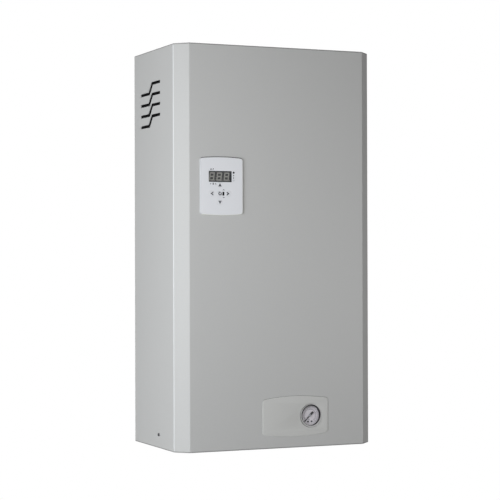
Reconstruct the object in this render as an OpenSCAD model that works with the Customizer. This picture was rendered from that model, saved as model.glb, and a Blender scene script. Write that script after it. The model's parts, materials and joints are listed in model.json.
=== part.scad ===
/* [Case] */
// Width of the case
case_w = 380; // [380:5:450]
// Height of the case
case_h = 710; // [700:5:800]
// Depth of the case from the wall
case_d = 220; // [218:1:250]
// Leg of the chamfer down each front edge
bevel = 21.5; // [14:0.5:28]
// Thickness of the cover sheet
sheet_t = 1.2; // [0.8:0.1:1.4]
// Outer radius of the folds in the cover
fold_r = 2.5; // [1.6:0.1:4]
// Width of a ventilation slot
slot_w = 5; // [3:0.5:6]
// Ventilation slots on each side
slot_count = 4; // [2:1:6]
// Distance from one ventilation slot to the next
slot_pitch = 19.4; // [14:0.2:24]
// Drop of the highest slot below the top of the case
slot_drop = 59.6; // [45:0.2:90]

/* [Wall fixing] */
// Drop of the wall bolts below the top of the case
bolt_drop = 70; // [66:1:90]
// Distance between the two wall bolts
bolt_span = 200; // [160:5:220]
// Diameter of a wall bolt's hole
bolt_hole_d = 7; // [5:0.5:9]
// Width of the wall bracket
bracket_w = 300; // [260:5:340]
// Space between the wall and the chassis
back_gap = 12; // [11:0.5:14]

/* [Control panel] */
// Width of the control panel
panel_w = 80.2; // [78:0.2:86]
// Height of the control panel at its two sides
panel_h = 97; // [94:0.1:104]
// Rise of the curved top and bottom edges at their middle
panel_bulge = 2.1; // [0.5:0.1:5]
// Height of the panel's face above the sheet
panel_raise = 4; // [3.6:0.1:5]
// Distance of the panel's middle from the left side of the case
panel_inset = 80.8; // [70:0.1:110]
// Drop of the panel's middle below the top of the case
panel_drop = 248; // [120:0.5:320]
// Width of the display window
window_w = 43.6; // [41:0.1:46]
// Height of the display window
window_h = 19; // [16:0.5:19]
// Diameter of a button's cap
key_d = 7; // [6:0.1:7.2]
// Travel of a button
key_travel = 0.6; // [0.3:0.1:0.9]

/* [Badge plate and gauge] */
// Width of the lower plate
badge_w = 129.4; // [118:0.2:140]
// Height of the lower plate at its two sides
badge_h = 61.7; // [56:0.1:70]
// Rise of the plate's curved edges at their middle
badge_bulge = 5.4; // [2:0.1:8]
// Height of the plate's face above the sheet
badge_raise = 3; // [2:0.1:3.2]
// Distance of the plate's middle from the right side of the case
badge_inset = 157; // [100:0.1:190]
// Height of the plate's middle above the bottom of the case
badge_rise = 55.6; // [50:0.1:58]
// Outer diameter of the gauge's ring
gauge_d = 41.8; // [38:0.2:44]
// Sideways offset of the gauge from the plate's middle
gauge_shift = 30; // [20:0.2:36]

/* [Water circuit] */
// Outer diameter of the tank
tank_d = 96; // [90:1:98]
// Thickness of the tank's insulation
jacket_t = 10; // [8:0.5:11]
// Heating elements in the tank
element_count = 3; // [1:1:3]
// Outer diameter of the water pipes
pipe_d = 22; // [18:1:24]
// Diameter of the threaded pipe ends under the case
stub_d = 26.4; // [20:0.2:28]
// Distance between the two ports of the pump
pump_span = 130; // [126:1:136]
// Blades on the pump's impeller
blade_count = 6; // [4:1:8]
// Depth of the expansion vessel
vessel_d = 72; // [60:1:74]

/* [Electrics] */
// Fins on the cooler of the power switches
fin_count = 9; // [5:1:12]
// Terminals in the mains terminal block
terminal_count = 6; // [4:1:7]
// Bore of a cable gland
gland_bore_d = 10.5; // [8:0.5:13]

/* [Hidden] */
$fn = 48;

// How far every cut passes the face it starts from
overrun = 1;
// Space between pieces that lie close but do not touch
gap = 0.3;
// Radial clearance of a pipe, pin or shaft in its seat
run_gap = 0.05;
// Space between the cover's rear edge and the wall
wall_gap = 1;
// Space between the cover and the chassis inside it
cover_gap = 0.5;
// Thickness of the thin slices that a rounded edge is built from
slice_t = 0.05;

// Sheets of the chassis and their folded lips
chassis_t = 1.2;
base_t = 1.5;
base_z = 12;
side_lip = 25;
top_lip = 30;
front_lip = 20;
chassis_half = case_w / 2 - sheet_t - cover_gap;
chassis_top = case_h - sheet_t - cover_gap;
back_front_y = back_gap + chassis_t;
floor_z = base_z + base_t;
front_in = case_d - sheet_t - cover_gap;

// The wall bracket: its strip, shelf and tongue
bracket_t = 2;
strip_h = 40;
bolt_z = case_h - bolt_drop;
shelf_z = bolt_z + strip_h / 2 + bracket_t;
tongue_h = 12;
tongue_w = bracket_w - 2 * strip_h;
tongue_play = 2.8;
window_side_play = 4;
hook_window_h = tongue_h + 5 * bracket_t;
tongue_y = back_gap + chassis_t + tongue_play;

// Rubber buffers between the chassis and the wall
buffer_r = 10;
buffer_lip_r = 12;
buffer_z = 60;
buffer_x = 140;
buffer_stem_r = 3;
buffer_head_h = 3;

// The cover's folded edge and its two captive screws
return_w = 14;
screw_y = 125;
screw_z = 24;
screw_r = 1.5;
screw_hole_r = 1.7;
screw_head_r = 3;
screw_head_h = 1.8;
screw_nut_w = 5.5;
screw_nut_h = 2.4;
notch_half = 1.8;
tab_w = 40;
tab_h = 26;

// Shape of the ventilation slots: two level stretches joined by a slanting one
slot_rear = 34.5;
slot_rear_w = 43.5;
slot_slant_w = 16;
slot_front_w = 40.5;
slot_rise = 17.2;
slot_end_r = 0.2 * slot_w;
slot_ends = [1, 0, 0, 1, 1, 0, 0, 1];

// Rows of ventilation slots in the base
base_slot_w = 4;
base_slot_h = 30;
base_slot_pitch = 12;
base_slot_rows = 7;
base_slot_y = 150;

// Common plane of the tank, the return pipe and the pump
water_y = 82;
tank_t = 2;
tank_z = 170;
tank_head_room = 150;
tank_h = case_h - tank_head_room - tank_z;
tank_from_side = 68;
tank_x = -case_w / 2 + tank_from_side;
tank_r = tank_d / 2;
tank_top = tank_z + tank_h;
tank_corner = 14;
drain_plug_r = 9;
drain_plug_h = 14;
flange_r = 62;
flange_t = 8;
flange_bolt_r = 55;
flange_bolts_n = 6;
gasket_t = 2;
heater_plate_t = 8;
bolt_r = 3;
bolt_head_w = 10;
bolt_head_h = 4;
bolt_nut_h = 5;
seat_z = tank_top + flange_t + gasket_t;

// Openings of the tank for the pipes, and their sockets
outlet_drop = 25;
outlet_z = tank_top - outlet_drop;
inlet_rise = 62;
inlet_z = tank_z + inlet_rise;
pipe_r = pipe_d / 2;
pipe_t = 1;
socket_t = 2;
socket_reach = 16;
socket_depth = 10;
jacket_r = tank_r + jacket_t;
jacket_gap = 0.3;
jacket_rise = 20;
jacket_z = tank_z + jacket_rise;
jacket_top = outlet_z - pipe_r - socket_t - 4 * socket_t;

// Tank clamps: bands round the insulation with legs to the back panel
clamp_h = 18;
clamp_t = 1.5;
clamp_leg_x = 22;
clamp_foot_w = 12;
clamp_share = [0.28, 0.67];

// Sensor boss on the front of the tank
sensor_share = 0.795;
sensor_r = 6;
sensor_reach = 16;
bulb_r = 3;
sensor_z = tank_z + sensor_share * tank_h;

// Heating elements: bent tubes with their ends through the heater plate
element_r = 4.25;
element_leg = 13;
element_ring = 26;
element_rise = 70;
element_stub = 12;
element_bend = 12.9;
terminal_r = 2;
terminal_h = 14;
terminal_nut_w = 7;
terminal_nut_h = 3.2;

// Supply pipe with its tee and the air vent on top
supply_from_tank = 87;
supply_x = tank_x + supply_from_tank;
supply_y = 45;
supply_turn = atan2(water_y - supply_y, supply_from_tank);
fitting_wall = 3;
tee_r = pipe_r + fitting_wall;
tee_half = 17;
tee_reach = 22;
vent_foot_w = 24;
vent_foot_h = 9;
vent_r = 15;
vent_h = 40;
vent_shoulder = 6;
vent_neck_r = 5;
vent_neck_h = 8;
vent_top = outlet_z + tee_half + vent_foot_h + vent_h;
cap_r = 6.5;
cap_h = 9;
cap_wall = 1.2;

// Threaded pipe ends under the base
stub_z = -10;
stub_shoulder_r = stub_d / 2 + 0.8 * pipe_t;
stub_shoulder_z = 7;
stub_bore_r = pipe_r - 2 * pipe_t;
stub_nut_w = 38;
stub_nut_h = base_z - stub_shoulder_z - 0.8 * pipe_t;
stub_hex_w = 34;
stub_hex_h = 11;
stub_socket_h = 10;
stub_top = floor_z + stub_hex_h + stub_socket_h;

// Pump: its place, its ports and its spiral housing
pump_from_supply = 110;
pump_x = supply_x + pump_from_supply;
pump_z = 135;
port_r = 15;
port_thread_r = 16.5;
port_thread_h = 12;
port_bore_r = 9;
volute_r = 37;
volute_growth = 10;
volute_wall = 5;
volute_back = 22;
volute_front = 25;
volute_steps = 36;
outlet_slant = 24;
eye_r = 12;
eye_depth = 16;
wheel_room = 14;
wheel_r = 29;
wheel_gap = 1;
wheel_plate_t = 1.5;
wheel_hub_r = 6;
blade_t = 1.4;
blade_in_r = eye_r + 2 * blade_t;
blade_bow_r = 14;
blade_lean = 20;
blade_turn = 82;
shaft_r = 4;
rotor_r = 20;
rotor_gap = 1;
motor_r = 42;
motor_flange_r = 46;
motor_flange_t = 6;
motor_chamfer = 5;
bearing_h = 6;
motor_end = 1;
box_w = 90;
box_h = 62;
box_share = 0.195;
motor_share = 0.54;
pump_front_room = case_d - water_y - volute_front;
box_d = box_share * pump_front_room;
motor_h = motor_share * pump_front_room;
rotor_h = motor_h - 3 * bearing_h - 2 * rotor_gap - motor_end;
box_corner = 8;
box_edge = 3;
knob_r = 10;
knob_h = 9;
knob_grip_w = 5;
knob_stem_r = 3;
knob_stem_h = 6;
knob_shift = 20;

// Pump pipe, union nuts and pipe collars
collar_r = 15;
collar_t = 2;
nut_w = 38;
nut_lip = 3;
bend_r = 20;
port_top_z = pump_z + pump_span / 2;
port_low_z = pump_z - pump_span / 2;

// Tee of the return pipe, where the vessel pipe and the capillary join
join_z = 47;
join_half = 9;
join_r = pipe_r + fitting_wall;
join_reach = 5;

// Flow sensor round the level stretch of the pump pipe
flow_from_supply = 35;
flow_x = supply_x + flow_from_supply;
flow_w = 40;
flow_r = 16;
flow_box_w = 22;
flow_box_h = 12;

// Safety valve on the supply pipe, its outlet and its knob
valve_z = 105;
valve_r = 13;
valve_reach = 17;
valve_h = 42;
valve_neck_r = 9;
valve_neck_h = 5;
valve_bore_r = 7;
valve_outlet_r = 7.5;
valve_drain_r = 0.9 * valve_outlet_r;
valve_tail_h = 20;
valve_outlet_bore_r = 6;
valve_outlet_y = 84;
valve_outlet_play = 1;
valve_knob_r = 15;
valve_knob_h = 22;
valve_knob_flutes = 10;
valve_flute_r = 2.6;
valve_stem_r = 4;
valve_stem_h = 12;

// Expansion vessel and its straps
vessel_from_side = 11;
vessel_from_vent = 9;
vessel_w = case_w / 2 - vessel_from_side - supply_x - vent_r - vessel_from_vent;
vessel_x = case_w / 2 - vessel_from_side - vessel_w / 2;
vessel_low_z = 265;
vessel_under_shelf = 17;
vessel_h = shelf_z - vessel_under_shelf - vessel_low_z;
vessel_z = vessel_low_z + vessel_h / 2;
vessel_back_y = 16;
vessel_corner = 40;
vessel_rim_t = 6;
vessel_y = vessel_back_y + vessel_d / 2;
nipple_share = 0.32;
vessel_nipple_h = 14;
vessel_pipe_x = vessel_x + nipple_share * vessel_w;
vessel_pipe_r = 5;
vessel_pipe_bend = 10;
strap_t = 1.2;
strap_h = 20;
strap_share = 0.29;
strap_rise = strap_share * vessel_h;
strap_foot = 6;

// Gauge: case, dial, pointer, lens and ring, measured from the front sheet
gauge_x = case_w / 2 - badge_inset + gauge_shift;
gauge_r = gauge_d / 2;
gauge_play = 0.4;
ring_proud = 0.5;
ring_front = badge_raise + ring_proud;
ring_wall = 0.9;
ring_lip = 3.4;
ring_round = 0.9;
ring_h = 5.5;
can_r = gauge_r - ring_wall - run_gap;
can_t = 0.9;
can_h = 26;
can_step = 1.4;
dial_r = can_r - can_t - can_step;
lens_sink = 1.6;
can_front = ring_front - lens_sink;
lens_t = 1.2;
pointer_t = 0.5;
pointer_drop = 5.8;
pointer_reach = 14.2;
pointer_tail = 8;
pointer_w = 1.1;
pointer_tail_w = 3;
pointer_hub_r = 2.2;
pointer_zero = 225;
pointer_post_r = 0.6;
dial_t = 0.5;
dial_drop = 7;
dial_hole_r = 1.2;
dial_z = can_front - dial_drop;
post_r = 2;
gauge_collar_drop = 8;
gauge_collar_r = 23;
gauge_collar_t = 1.5;
stem_w = 9;
stem_h = 6;
capillary_r = 1.25;
capillary_bend = 6;
capillary_from_front = 70;
capillary_y = case_d - capillary_from_front;
capillary_z = 26;
capillary_run = 14;
capillary_loop = 40;
stand_t = 1.5;
stand_w = 60;
stand_foot = 40;
stand_above = 27;
stand_fold = 2;

// Tray that carries the electrics, and its legs
tray_t = 1.5;
tray_y = 98;
tray_z = 255;
tray_under_shelf = 27;
tray_h = shelf_z - tray_under_shelf - tray_z;
tray_leg_h = 36;
tray_leg_side = 5;
tray_left = vessel_x - vessel_w / 2 - tray_leg_side - tray_t;
tray_right = vessel_x + vessel_w / 2 + tray_leg_side + tray_t;
tray_w = tray_right - tray_left;
tray_edge = 8;
tray_slot_w = 8;
tray_slot_h = 60;
tray_slot_inset = 14;
tray_slot_share = 0.237;
tray_foot = 6;
tray_lip = 8;

// Main board and what stands on it
board_share = [0.58, 0.395];
board_w = board_share[0] * tray_w;
board_h = board_share[1] * tray_h;
board_t = 1.6;
board_stand = 8;
board_x = tray_left + tray_edge;
board_z = tray_z + tray_h - board_h - tray_edge - tray_t;
board_y = tray_y + tray_t + board_stand;
board_inset = 5;
spacer_r = 3;
relay_w = 15;
relay_h = 20;
relay_d = 16;
relay_count = 4;
relay_pitch = (board_w - 2 * board_inset - relay_w) / relay_count;
can_cap_r = 8;
can_cap_h = 25;
chip_w = 24;
chip_h = 10;
chip_d = 3;
core_w = 32;
core_h = 28;
core_d = 26;
plug_w = 50;
plug_h = 9;
plug_d = 11;

// Contactor with its armature
contactor_share = [0.22, 0.195];
contactor_head_share = [0.87, 0.54];
contactor_w = contactor_share[0] * tray_w;
contactor_h = contactor_share[1] * tray_h;
contactor_d = 50;
contactor_head_w = contactor_head_share[0] * contactor_w;
contactor_head_h = contactor_head_share[1] * contactor_h;
contactor_head_d = 22;
contactor_x = tray_right - tray_edge - contactor_w / 2;
contactor_z = board_z + board_h - contactor_h / 2;
armature_w = 12;
armature_h = 6;
armature_out = 3.4;
armature_travel = 3;
armature_room = 8;
contact_share = 0.27;
contact_pitch = contact_share * contactor_w;
contact_r = 2.6;
contact_h = 3;

// Cooler of the power switches
cooler_share = [0.54, 0.237];
cooler_rise_share = 0.316;
cooler_w = cooler_share[0] * tray_w;
cooler_h = cooler_share[1] * tray_h;
cooler_base = 6;
cooler_d = 34;
fin_t = 2;
cooler_x = tray_left + tray_edge + cooler_w / 2;
cooler_z = tray_z + cooler_rise_share * tray_h;
switch_share = 0.27;
switch_w = switch_share * cooler_w;
switch_h = 22;
switch_d = 7;

// Mains terminal block
terminal_w = 12;
terminal_block_h = 34;
terminal_block_d = 30;
terminal_step = 9;
terminal_hole_r = 3.2;
terminal_rise_share = 0.09;
terminal_x = tray_left + 3 * tray_edge + terminal_count * terminal_w / 2;
terminal_z = tray_z + terminal_rise_share * tray_h;

// Safety thermostat with its reset pin
thermostat_share = 0.21;
thermostat_rise_share = 0.34;
thermostat_plate_w = thermostat_share * tray_w;
thermostat_r = thermostat_plate_w / 3;
thermostat_h = 24;
thermostat_plate_h = 30;
thermostat_plate_t = 2;
thermostat_x = tray_right - tray_edge - thermostat_plate_w / 2;
thermostat_z = tray_z + thermostat_rise_share * tray_h;
reset_r = 2.5;
reset_out = 4.5;
reset_travel = 1.5;
reset_room = 9;
capillary_off = 20;
capillary_from_supply = 15;
capillary_x = supply_x - capillary_from_supply;
capillary_low_z = (cooler_z - cooler_h / 2 + terminal_z + terminal_block_h / 2) / 2;
reset_collar_r = 7;
reset_collar_h = 3;

// Cable glands in the base
gland_count = 3;
gland_pitch = 32;
gland_from_side = 40;
gland_y = 60;
gland_hex_w = 24;
gland_hex_h = 6;
gland_dome_r = 11;
gland_dome_h = 12;
gland_thread_r = 9.9;
gland_nut_w = 25;
gland_nut_h = 5;
gland_top_h = 9;
gland_places = [for (i = [0:gland_count - 1]) [gland_from_side - case_w / 2 + i * gland_pitch, -gland_y]];

// Control panel, measured from its middle and from the front sheet
panel_x = -case_w / 2 + panel_inset;
panel_z = case_h - panel_drop;
panel_corner = 4;
panel_edge = 1.4;
panel_wall = 2.2;
panel_steps = 10;
skirt_w = 60;
skirt_h = 82;
skirt_t = 1.8;
skirt_depth = 14;
skirt_play = 0.3;
catch_w = 10;
catch_h = 1.5;
catch_rise = 24;
catch_l = 3.2;
window_shift = -2.25;
window_rise = 16.85;
window_corner = 1;
window_sink = 0.4;
window_flange = 0.9;
window_flange_t = 1;
window_play = 0.1;

// Display module with its digits
module_w = 37.6;
module_h = 19;
module_d = 8;
module_shift = -2.35;
digit_t = 0.2;
module_front = panel_raise - panel_wall - window_flange_t - digit_t - gap;
digit_h = 13.8;
digit_w = 7.6;
digit_pitch = 12.5;
digit_count = 3;
digit_lean = 8;
stroke_w = 1.7;
stroke_gap = 0.35;
point_r = 0.85;

// Keypad: the ring of buttons round the middle one
keys_x = -3.3;
keys_z = -13;
keys_ring = 15.3;
key_play = 0.2;
key_proud = 0.2;
key_ear = 0.7;
key_ear_t = 1.2;
key_edge = 0.4;
key_stem_r = 1.6;
key_stem_h = 1.3;
ear_low = panel_raise - panel_wall - gap - key_ear_t;
key_low = ear_low - key_stem_h;
key_rows = [[0, 1], [0, -1], [-1, 0], [1, 0], [0, 0]];
pad_w = 54;
pad_h = 75;
pad_t = 1.6;
pad_front = module_front - module_d;
pad_corner = 3;
tact_w = 6;
tact_d = 3.5;
tact_pin_r = 1.75;

// Indicator lights of the control panel
light_x = 22.9;
light_top = 23.8;
light_low = 10.4;
light_r = 1.6;
strip_shift = 6.7;
strip_w = 2.5;
strip_l = 5.9;
light_sink = 0.1;

// Rear housing of the control panel
back_t = 1.5;
back_play = 0.2;
back_depth = 13;
back_plug_w = 24;
back_plug_h = 8;

// Clips of the lower plate
clip_r = 2;
clip_l = 6;
clip_in = 14;
clip_mid = 0;
badge_wall = 1.8;
badge_x = case_w / 2 - badge_inset;
badge_corner = 5;
badge_edge = 1.6;
stub_places = [[supply_x, -supply_y], [pump_x, -water_y]];

// A vector of length one
function unit(v) = v / norm(v);

// Points of an arc about a centre
function arc(centre, r, from, to, n = 5) =
  [for (i = [0:n]) centre + r * [cos(from + (to - from) * i / n), sin(from + (to - from) * i / n)]];

// Corner q of an outline, between the points p and s, as an arc of radius r
function corner(p, q, s, r, n) =
  r == 0 ? [q] :
  let (
    a = unit(p - q),
    b = unit(s - q),
    half = acos(a * b) / 2,
    centre = q + unit(a + b) * r / sin(half),
    from = q + a * r / tan(half) - centre,
    to = q + b * r / tan(half) - centre,
    start = atan2(from[1], from[0]),
    sweep = (atan2(to[1], to[0]) - start + 540) % 360 - 180
  )
  [for (i = [0:n]) centre + r * [cos(start + sweep * i / n), sin(start + sweep * i / n)]];

// A closed outline with a radius for each of its corners
function rounded(pts, r, n = 4) =
  let (m = len(pts))
  [for (i = [0:m - 1]) each corner(pts[(i + m - 1) % m], pts[i], pts[(i + 1) % m], r[i], n)];

// An open path whose inner corners are arcs of one radius
function eased(pts, r, n = 4) =
  let (last = len(pts) - 1)
  [
    pts[0],
    for (i = [1:1:last - 1]) each corner(pts[i - 1], pts[i], pts[i + 1], r, n),
    pts[last]
  ];

// The left normal of a path's stretch from a to b
function normal(a, b) =
  let (d = unit(b - a))
  [-d[1], d[0]];

// A path moved sideways by t, mitred at its corners
function shifted(pts, t) =
  let (last = len(pts) - 1)
  [for (i = [0:last])
    let (
      n0 = normal(pts[max(i - 1, 0)], pts[max(i, 1)]),
      n1 = normal(pts[min(i, last - 1)], pts[min(i + 1, last)]),
      m = unit(n0 + n1)
    )
    pts[i] + m * t / (m * n0)];

function reversed(pts) = [for (i = [len(pts) - 1:-1:0]) pts[i]];

// A rectangle with round corners whose top and bottom edges have points for a curve
function box_points(w, h, r, n) =
  let (
    x = w / 2 - r,
    y = h / 2 - r
  )
  [
    each arc([x, -y], r, -90, 0),
    each arc([x, y], r, 0, 90),
    for (i = [1:n - 1]) [x - 2 * x * i / n, h / 2],
    each arc([-x, y], r, 90, 180),
    each arc([-x, -y], r, 180, 270),
    for (i = [1:n - 1]) [-x + 2 * x * i / n, -h / 2]
  ];

// The same with both edges swelling outwards as a parabola
function pillow(w, h, bulge, r, n) =
  [for (p = box_points(w, h, r, n))
    [p[0], p[1] + sign(p[1]) * bulge * (1 - pow(2 * p[0] / w, 2))]];

// Sheet folded along a path
module folded(pts, t) {
  polygon(concat(pts, reversed(shifted(pts, t))));
}

// A rectangle with round corners
module box_plan(w, h, r) {
  polygon(box_points(w, h, r, 2));
}

// A box from its lowest corner to its highest
module block(low, high) {
  translate(low) cube(high - low);
}

// A round bar that starts at the height z
module bar(r, z, h) {
  translate([0, 0, z]) cylinder(r = r, h = h);
}

// A flat child made into a plate that starts at the height z
module slab(z, h) {
  translate([0, 0, z]) linear_extrude(h) children();
}

// A child and its mirror image on the other side
module both() {
  children();
  mirror([1, 0, 0]) children();
}

// A hole through material that starts at the height z
module drill(r, z, h) {
  bar(r, z - overrun, h + 2 * overrun);
}

// A square-edged bar centred on Z that starts at the height z
module brick(w, d, z, h) {
  translate([-w / 2, -d / 2, z]) cube([w, d, h]);
}

module tube(r, bore, h) {
  difference() {
    cylinder(r = r, h = h);
    drill(bore, 0, h);
  }
}

// A hexagonal bar, by its width across the flats
module hexagon(w, h, z = 0) {
  translate([0, 0, z]) cylinder(r = w / sqrt(3), h = h, $fn = 6);
}

module hex_nut(w, bore, h) {
  difference() {
    hexagon(w, h);
    drill(bore, 0, h);
  }
}

// Moves the height zero from the bottom of the case to the line of the wall bolts
module from_bolts() {
  translate([0, 0, -bolt_z]) children();
}

// Stands a child on a point of the front: X stays, Y is up, Z comes out of the front
module facing_front(p) {
  translate(p) rotate([90, 0, 0]) children();
}

// Extrudes a profile drawn in Y and Z along X, centred
module across(w) {
  translate([-w / 2, 0, 0]) rotate([90, 0, 90]) linear_extrude(w) children();
}

// Puts the child's Z axis along d at the point p, with its X axis near e
module aim(p, d, e) {
  z = unit(d);
  x = unit(e - (e * z) * z);
  y = cross(z, x);
  multmatrix([
    [x[0], y[0], z[0], p[0]],
    [x[1], y[1], z[1], p[1]],
    [x[2], y[2], z[2], p[2]],
    [0, 0, 0, 1]
  ])
    children();
}

// A direction that is not along d
function beside(d) = abs(unit(d)[2]) > 0.9 ? [1, 0, 0] : [0, 0, 1];

// Length that the bend at point i takes from the stretches beside it
function bend_reach(pts, i, bend) =
  bend * tan(acos(unit(pts[i] - pts[i - 1]) * unit(pts[i + 1] - pts[i])) / 2);

module pipe_bend(pts, i, r, bend) {
  a = unit(pts[i] - pts[i - 1]);
  b = unit(pts[i + 1] - pts[i]);
  inward = unit(b - (a * b) * a);
  centre = pts[i] - a * bend_reach(pts, i, bend) + inward * bend;
  aim(centre, cross(a, inward), -inward)
    rotate_extrude(angle = acos(a * b)) translate([bend, 0]) circle(r);
}

// A round bar along a route, with bends of one radius
module pipe_run(pts, r, bend) {
  last = len(pts) - 1;
  for (i = [0:last - 1]) {
    d = unit(pts[i + 1] - pts[i]);
    from = pts[i] + d * (i == 0 ? 0 : bend_reach(pts, i, bend));
    to = pts[i + 1] - d * (i == last - 1 ? 0 : bend_reach(pts, i + 1, bend));
    aim(from, d, beside(d)) cylinder(r = r, h = norm(to - from));
  }
  for (i = [1:1:last - 1])
    pipe_bend(pts, i, r, bend);
}

// The same route with its two ends drawn out, for a bore
function drawn_out(pts) =
  let (last = len(pts) - 1)
  [
    pts[0] - overrun * unit(pts[1] - pts[0]),
    for (i = [1:1:last - 1]) pts[i],
    pts[last] + overrun * unit(pts[last] - pts[last - 1])
  ];

module hollow_run(pts, r, bore, bend) {
  difference() {
    pipe_run(pts, r, bend);
    pipe_run(drawn_out(pts), bore, bend);
  }
}

// A plate whose front edge is rounded: raise high, with an edge radius
module soft_plate(w, h, bulge, r, raise, edge) {
  linear_extrude(raise - edge) polygon(pillow(w, h, bulge, r, panel_steps));
  hull()
    for (a = [0, 30, 60, 90])
      slab(raise - edge + (edge - slice_t) * sin(a), slice_t) polygon(pillow(
        w - 2 * edge * (1 - cos(a)), h - 2 * edge * (1 - cos(a)),
        bulge, r, panel_steps
      ));
}

// Outline of the case from above, drawn in by an inset, with its rear edge at a distance back
function case_points(inset, back) =
  let (
    half = case_w / 2 - inset,
    front = case_d - inset,
    leg = bevel - inset * (2 - sqrt(2))
  )
  [
    [-half, -back], [-half, leg - front], [leg - half, -front],
    [half - leg, -front], [half, leg - front], [half, -back]
  ];

module case_plan(inset, back) {
  r = max(0, fold_r - inset);
  polygon(rounded(case_points(inset, back), [0, r, r, r, r, 0]));
}

// Wall fixing and chassis
module wall_bracket() {
  from_bolts() color("lightgray") difference() {
    across(bracket_w) folded(
      [
        [0, bolt_z - strip_h / 2], [0, shelf_z],
        [-tongue_y, shelf_z], [-tongue_y, shelf_z + tongue_h]
      ],
      bracket_t
    );
    for (s = [-1, 1]) {
      mirror([s < 0 ? 1 : 0, 0, 0])
        block(
          [tongue_w / 2, -tongue_y - bracket_t - overrun, shelf_z - 2 * bracket_t],
          [bracket_w / 2 + overrun, -bracket_t, shelf_z + tongue_h + overrun]
        );
      facing_front([s * bolt_span / 2, overrun, bolt_z])
        cylinder(d = bolt_hole_d, h = bracket_t + 2 * overrun);
    }
  }
}

module back_panel() {
  lip_y = -back_gap - side_lip;
  window_half = tongue_w / 2 + window_side_play;
  from_bolts() color("lightgray") difference() {
    union() {
      slab(floor_z, chassis_top - floor_z) folded(
        eased(
          [
            [-chassis_half, lip_y], [-chassis_half, -back_gap],
            [chassis_half, -back_gap], [chassis_half, lip_y]
          ],
          fold_r
        ),
        -chassis_t
      );
      block(
        [fold_r - chassis_half, -back_gap - top_lip, chassis_top - chassis_t],
        [chassis_half - fold_r, -back_gap, chassis_top]
      );
    }
    block(
      [-window_half, -back_front_y - overrun, shelf_z - hook_window_h],
      [window_half, overrun - back_gap, shelf_z]
    );
    for (s = [-1, 1])
      facing_front([s * buffer_x, overrun - back_gap, buffer_z])
        cylinder(r = buffer_stem_r, h = chassis_t + 2 * overrun);
  }
}

module wall_buffers() {
  head = back_front_y + buffer_head_h;
  from_bolts() color("dimgray")
    for (s = [-1, 1])
      facing_front([s * buffer_x, 0, buffer_z]) rotate_extrude() polygon([
        [0, 0], [buffer_r, 0], [buffer_lip_r, back_gap],
        [buffer_stem_r, back_gap], [buffer_stem_r, back_front_y],
        [1.8 * buffer_stem_r, back_front_y], [buffer_stem_r, head], [0, head]
      ]);
}

// A slot open to the front, that a captive screw slides out of
module screw_notch() {
  front = screw_y + tab_w / 2 + overrun;
  for (s = [-1, 1])
    translate([s * chassis_half, 0, 0]) across(4 * base_t) polygon(rounded(
      [
        [-front, screw_z - notch_half], [notch_half - screw_y, screw_z - notch_half],
        [notch_half - screw_y, screw_z + notch_half], [-front, screw_z + notch_half]
      ],
      [0, 0.9 * notch_half, 0.9 * notch_half, 0]
    ));
}

module base_plate() {
  lip_half = chassis_half - bevel;
  from_bolts() color("lightgray") difference() {
    union() {
      slab(base_z, base_t) case_plan(sheet_t + cover_gap, back_gap);
      block(
        [-lip_half, -front_in, base_z],
        [lip_half, base_t - front_in, floor_z + front_lip]
      );
      both()
        block(
          [chassis_half - base_t, -screw_y - tab_w / 2, base_z],
          [chassis_half, tab_w / 2 - screw_y, floor_z + tab_h]
        );
    }
    screw_notch();
    translate([0, 0, base_z - overrun]) {
      for (p = stub_places)
        translate(p) cylinder(r = stub_shoulder_r + gap, h = base_t + 2 * overrun);
      translate([supply_x, -valve_outlet_y])
        cylinder(r = valve_outlet_r + valve_outlet_play, h = base_t + 2 * overrun);
      for (p = gland_places)
        translate(p) cylinder(r = gland_thread_r + gap, h = base_t + 2 * overrun);
      for (i = [0:base_slot_rows - 1])
        translate([gland_places[0][0] + i * base_slot_pitch, -base_slot_y])
          linear_extrude(base_t + 2 * overrun)
            box_plan(base_slot_w, base_slot_h, 0.45 * base_slot_w);
    }
  }
}

// Tank with its heating elements
module tank_socket(turn, z) {
  translate([0, 0, z]) rotate([0, 90, turn])
    bar(pipe_r + socket_t, tank_r - 1.2 * tank_t, socket_reach + 1.2 * tank_t);
}

module tank_opening(turn, z, r) {
  translate([0, 0, z]) rotate([0, 90, turn]) cylinder(r = r, h = tank_r + socket_reach + overrun);
}

module tank_shell() {
  from_bolts() color("silver") translate([tank_x, -water_y, 0]) difference() {
    union() {
      rotate_extrude() folded(
        eased([[0, tank_z], [tank_r, tank_z], [tank_r, tank_top + flange_t]], tank_corner),
        tank_t
      );
      translate([0, 0, tank_top]) tube(flange_r, tank_r - tank_t / 2, flange_t);
      tank_socket(supply_turn, outlet_z);
      tank_socket(0, inlet_z);
      facing_front([0, 0, sensor_z])
        bar(sensor_r, tank_r - 1.2 * tank_t, sensor_reach);
      hexagon(2 * drain_plug_r, drain_plug_h + tank_t / 2, tank_z - drain_plug_h);
    }
    tank_opening(supply_turn, outlet_z, pipe_r + run_gap);
    tank_opening(0, inlet_z, pipe_r + run_gap);
    facing_front([0, 0, sensor_z])
      bar(bulb_r + run_gap, tank_r, sensor_reach + overrun);
    translate([0, 0, tank_top - overrun]) flange_holes(flange_t + 2 * overrun);
  }
}

module flange_holes(h) {
  for (i = [0:flange_bolts_n - 1])
    rotate(360 * i / flange_bolts_n)
      translate([flange_bolt_r, 0, 0]) cylinder(r = bolt_r + gap, h = h);
}

module tank_jacket() {
  from_bolts() color("dimgray") translate([tank_x, -water_y, 0]) difference() {
    translate([0, 0, jacket_z])
      tube(jacket_r, tank_r + jacket_gap, jacket_top - jacket_z);
    tank_opening(0, inlet_z, pipe_r + 2 * socket_t);
    facing_front([0, 0, sensor_z]) cylinder(r = sensor_r + socket_t, h = jacket_r + overrun);
  }
}

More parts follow.
